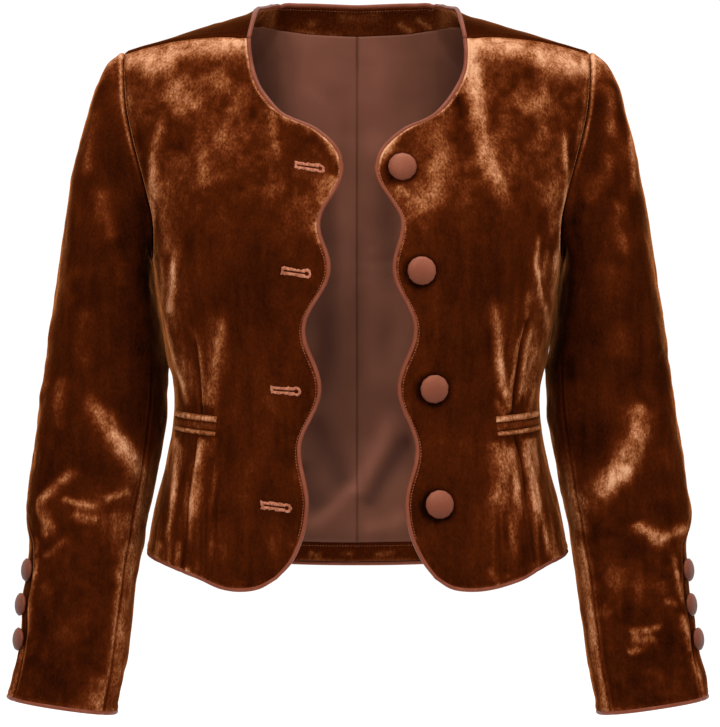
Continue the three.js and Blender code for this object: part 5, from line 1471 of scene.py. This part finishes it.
def makeButtonholes():
    pieces = []
    for index, (centre, height, fall) in enumerate(holes["rows"]):
        def outline(length, width, eye):
            eyeAt = (holes["length"] - holes["eye"]) / 2
            points = [(-length, 0), (-length, -width), (eyeAt - eye, -width)]
            for angle in np.linspace(-holes["eyeTurn"], holes["eyeTurn"], 13) * degrees:
                points.append((eyeAt + eye * math.cos(angle), eye * math.sin(angle)))
            points += [(eyeAt - eye, width), (-length, width), (-length, 0)]
            return np.array(points)
        halfLength = holes["length"] / 2
        outer = outline(halfLength, holes["width"] / 2, holes["eye"] / 2)
        inner = outline(halfLength - holes["bar"], holes["slit"] / 2, holes["eyeSlit"] / 2)
        runs = np.concatenate([[0], np.cumsum(np.linalg.norm(np.diff(outer, axis=0), axis=1))])
        count = 220
        at = np.linspace(0, runs[-1], count + 1)
        rings = [np.stack([np.interp(at, runs, loop[:, k]) for k in (0, 1)], -1) for loop in (inner, outer)]
        across = np.linspace(0, 1, 9)
        flat = rings[0][:, None] + (rings[1] - rings[0])[:, None] * across[None, :, None]
        stitch = np.abs(np.sin(at / holes["stitchMm"] * math.pi))[:, None]
        ragged = softNoise(np.stack([at, at * 0, at * 0], -1), 1.7, 90 + index)[:, None]
        flat = flat + (rings[1] - rings[0])[:, None] * (holes["roughness"] * 0.25 * ragged
                                                        * across[None] ** 2)[..., None]
        bulge = np.sin(across * math.pi)[None] ** 0.6 * (holes["bulge"] + 0.2 * ragged)
        lift = holes["lift"] + bulge * (0.75 + 0.25 * stitch)
        x = centre - flat[..., 0]
        z = height + flat[..., 1] - fall * flat[..., 0]
        places = placeOf(-x, z)
        points, normals, _, _ = frontForm(-1, places)
        points = points + normals * lift[..., None]
        form, _ = gridForm(points, normals)
        bmesh.ops.remove_doubles(form, verts=form.verts, dist=1e-6)
        pieces.append(finishPiece(f"buttonhole_thread_{index + 1}", form, [thread],
                                  [f"buttonhole_{index + 1}"], (holes["width"] * metres, runs[-1] * metres)))
        wall = pieces[-1].modifiers.new("thread thickness", "SOLIDIFY")
        wall.thickness = 0.3 * metres
        wall.offset = -1
    return pieces


# Pockets: an upper jet, a welt and a lower jet on each front; the jets are drawn pale, a painted highlight on their
# rounded lips, and the welt darker, its own tone with painted shade of the opening
pockets = {
    "angles": (44.5, 80), "levels": (-341.8, -337),
    "strips": [
        {"name": "jet_upper", "top": 0.8, "foot": -4.4, "rise": 1.7, "rumple": 0.9, "pileAndPaintedLight": 0.76, "rough": 0.2},
        {"name": "welt", "top": -4.0, "foot": -12.0, "rise": 0.9, "rumple": 0.25, "pileAndPaintedLight": 0.42, "rough": 0.08},
        {"name": "jet_lower", "top": -11.6, "foot": -15.4, "rise": 1.3, "rumple": 0.5, "pileAndPaintedLight": 0.70, "rough": 0.2},
    ],
    "grid": (90, 8), "edge": 0.2,
}


def makePockets(hand, name):
    pieces = []
    s = np.linspace(0, 1, pockets["grid"][0] + 1)
    t = np.linspace(0, 1, pockets["grid"][1] + 1)
    angle = hand * degrees * (pockets["angles"][0] + (pockets["angles"][1] - pockets["angles"][0]) * s)
    level = pockets["levels"][0] + (pockets["levels"][1] - pockets["levels"][0]) * s
    for order, row in enumerate(pockets["strips"]):
        drop = row["foot"] + (row["top"] - row["foot"]) * t
        places = np.stack([np.broadcast_to(angle, (len(t), len(s))), level[None] + drop[:, None]], -1)
        points, normals, _, _ = frontForm(hand, places)
        crown = (1 - np.abs(2 * t - 1) ** 3)[:, None]
        wave = softNoise(points, 5.5, 100 + order) * row["rumple"]
        lift = pockets["edge"] + crown * (row["rise"] + 0.5 * wave)
        ends = np.minimum(1, np.minimum(s, 1 - s) * 40)[None]
        points = points + normals * (lift * ends + 0.1)[..., None]
        points[..., 2] += wave * 0.4 * crown
        # Painted shade along the top and foot of each strip, where the strips meet
        pileAndPaintedLight = row["pileAndPaintedLight"] + row["rough"] * softNoise(points, 4.5, 110 + order) - 0.3 * (1 - crown)
        pieces.append(clothPanel(f"pocket_velvet_{row['name']}_{name}", points, normals, 0.6, [velvet],
                                 [f"pocket_{row['name']}_{name}"], pileAndPaintedLight))
    return pieces


def declareSheet(piece, together=()):
    width, length = cuts[piece.name]
    area = sheetArea(piece)
    print("cut", piece.name, round(width, 3), round(length, 3), round(area, 4))


makeButtons()
makeButtonholes()
print("buttons and buttonholes ready")
for hand, name in ((-1, "right"), (1, "left")):
    front, frontPiping = makeFront(hand, name)
    declareSheet(front, [frontPiping] + makePockets(hand, name))
print("fronts and pockets ready")
back = makeBack()
declareSheet(back["back"], [back["pipingNeck"], back["pipingHem"]])
for name in ("facingNeck", "facingHem", "liningright", "liningleft"):
    declareSheet(back[name])
print("back and lining ready")
for hand, name in ((-1, "right"), (1, "left")):
    parts = makeSleeve(hand, name)
    declareSheet(parts["top"], [parts["piping"]])
    declareSheet(parts["under"])
print("sleeves ready")
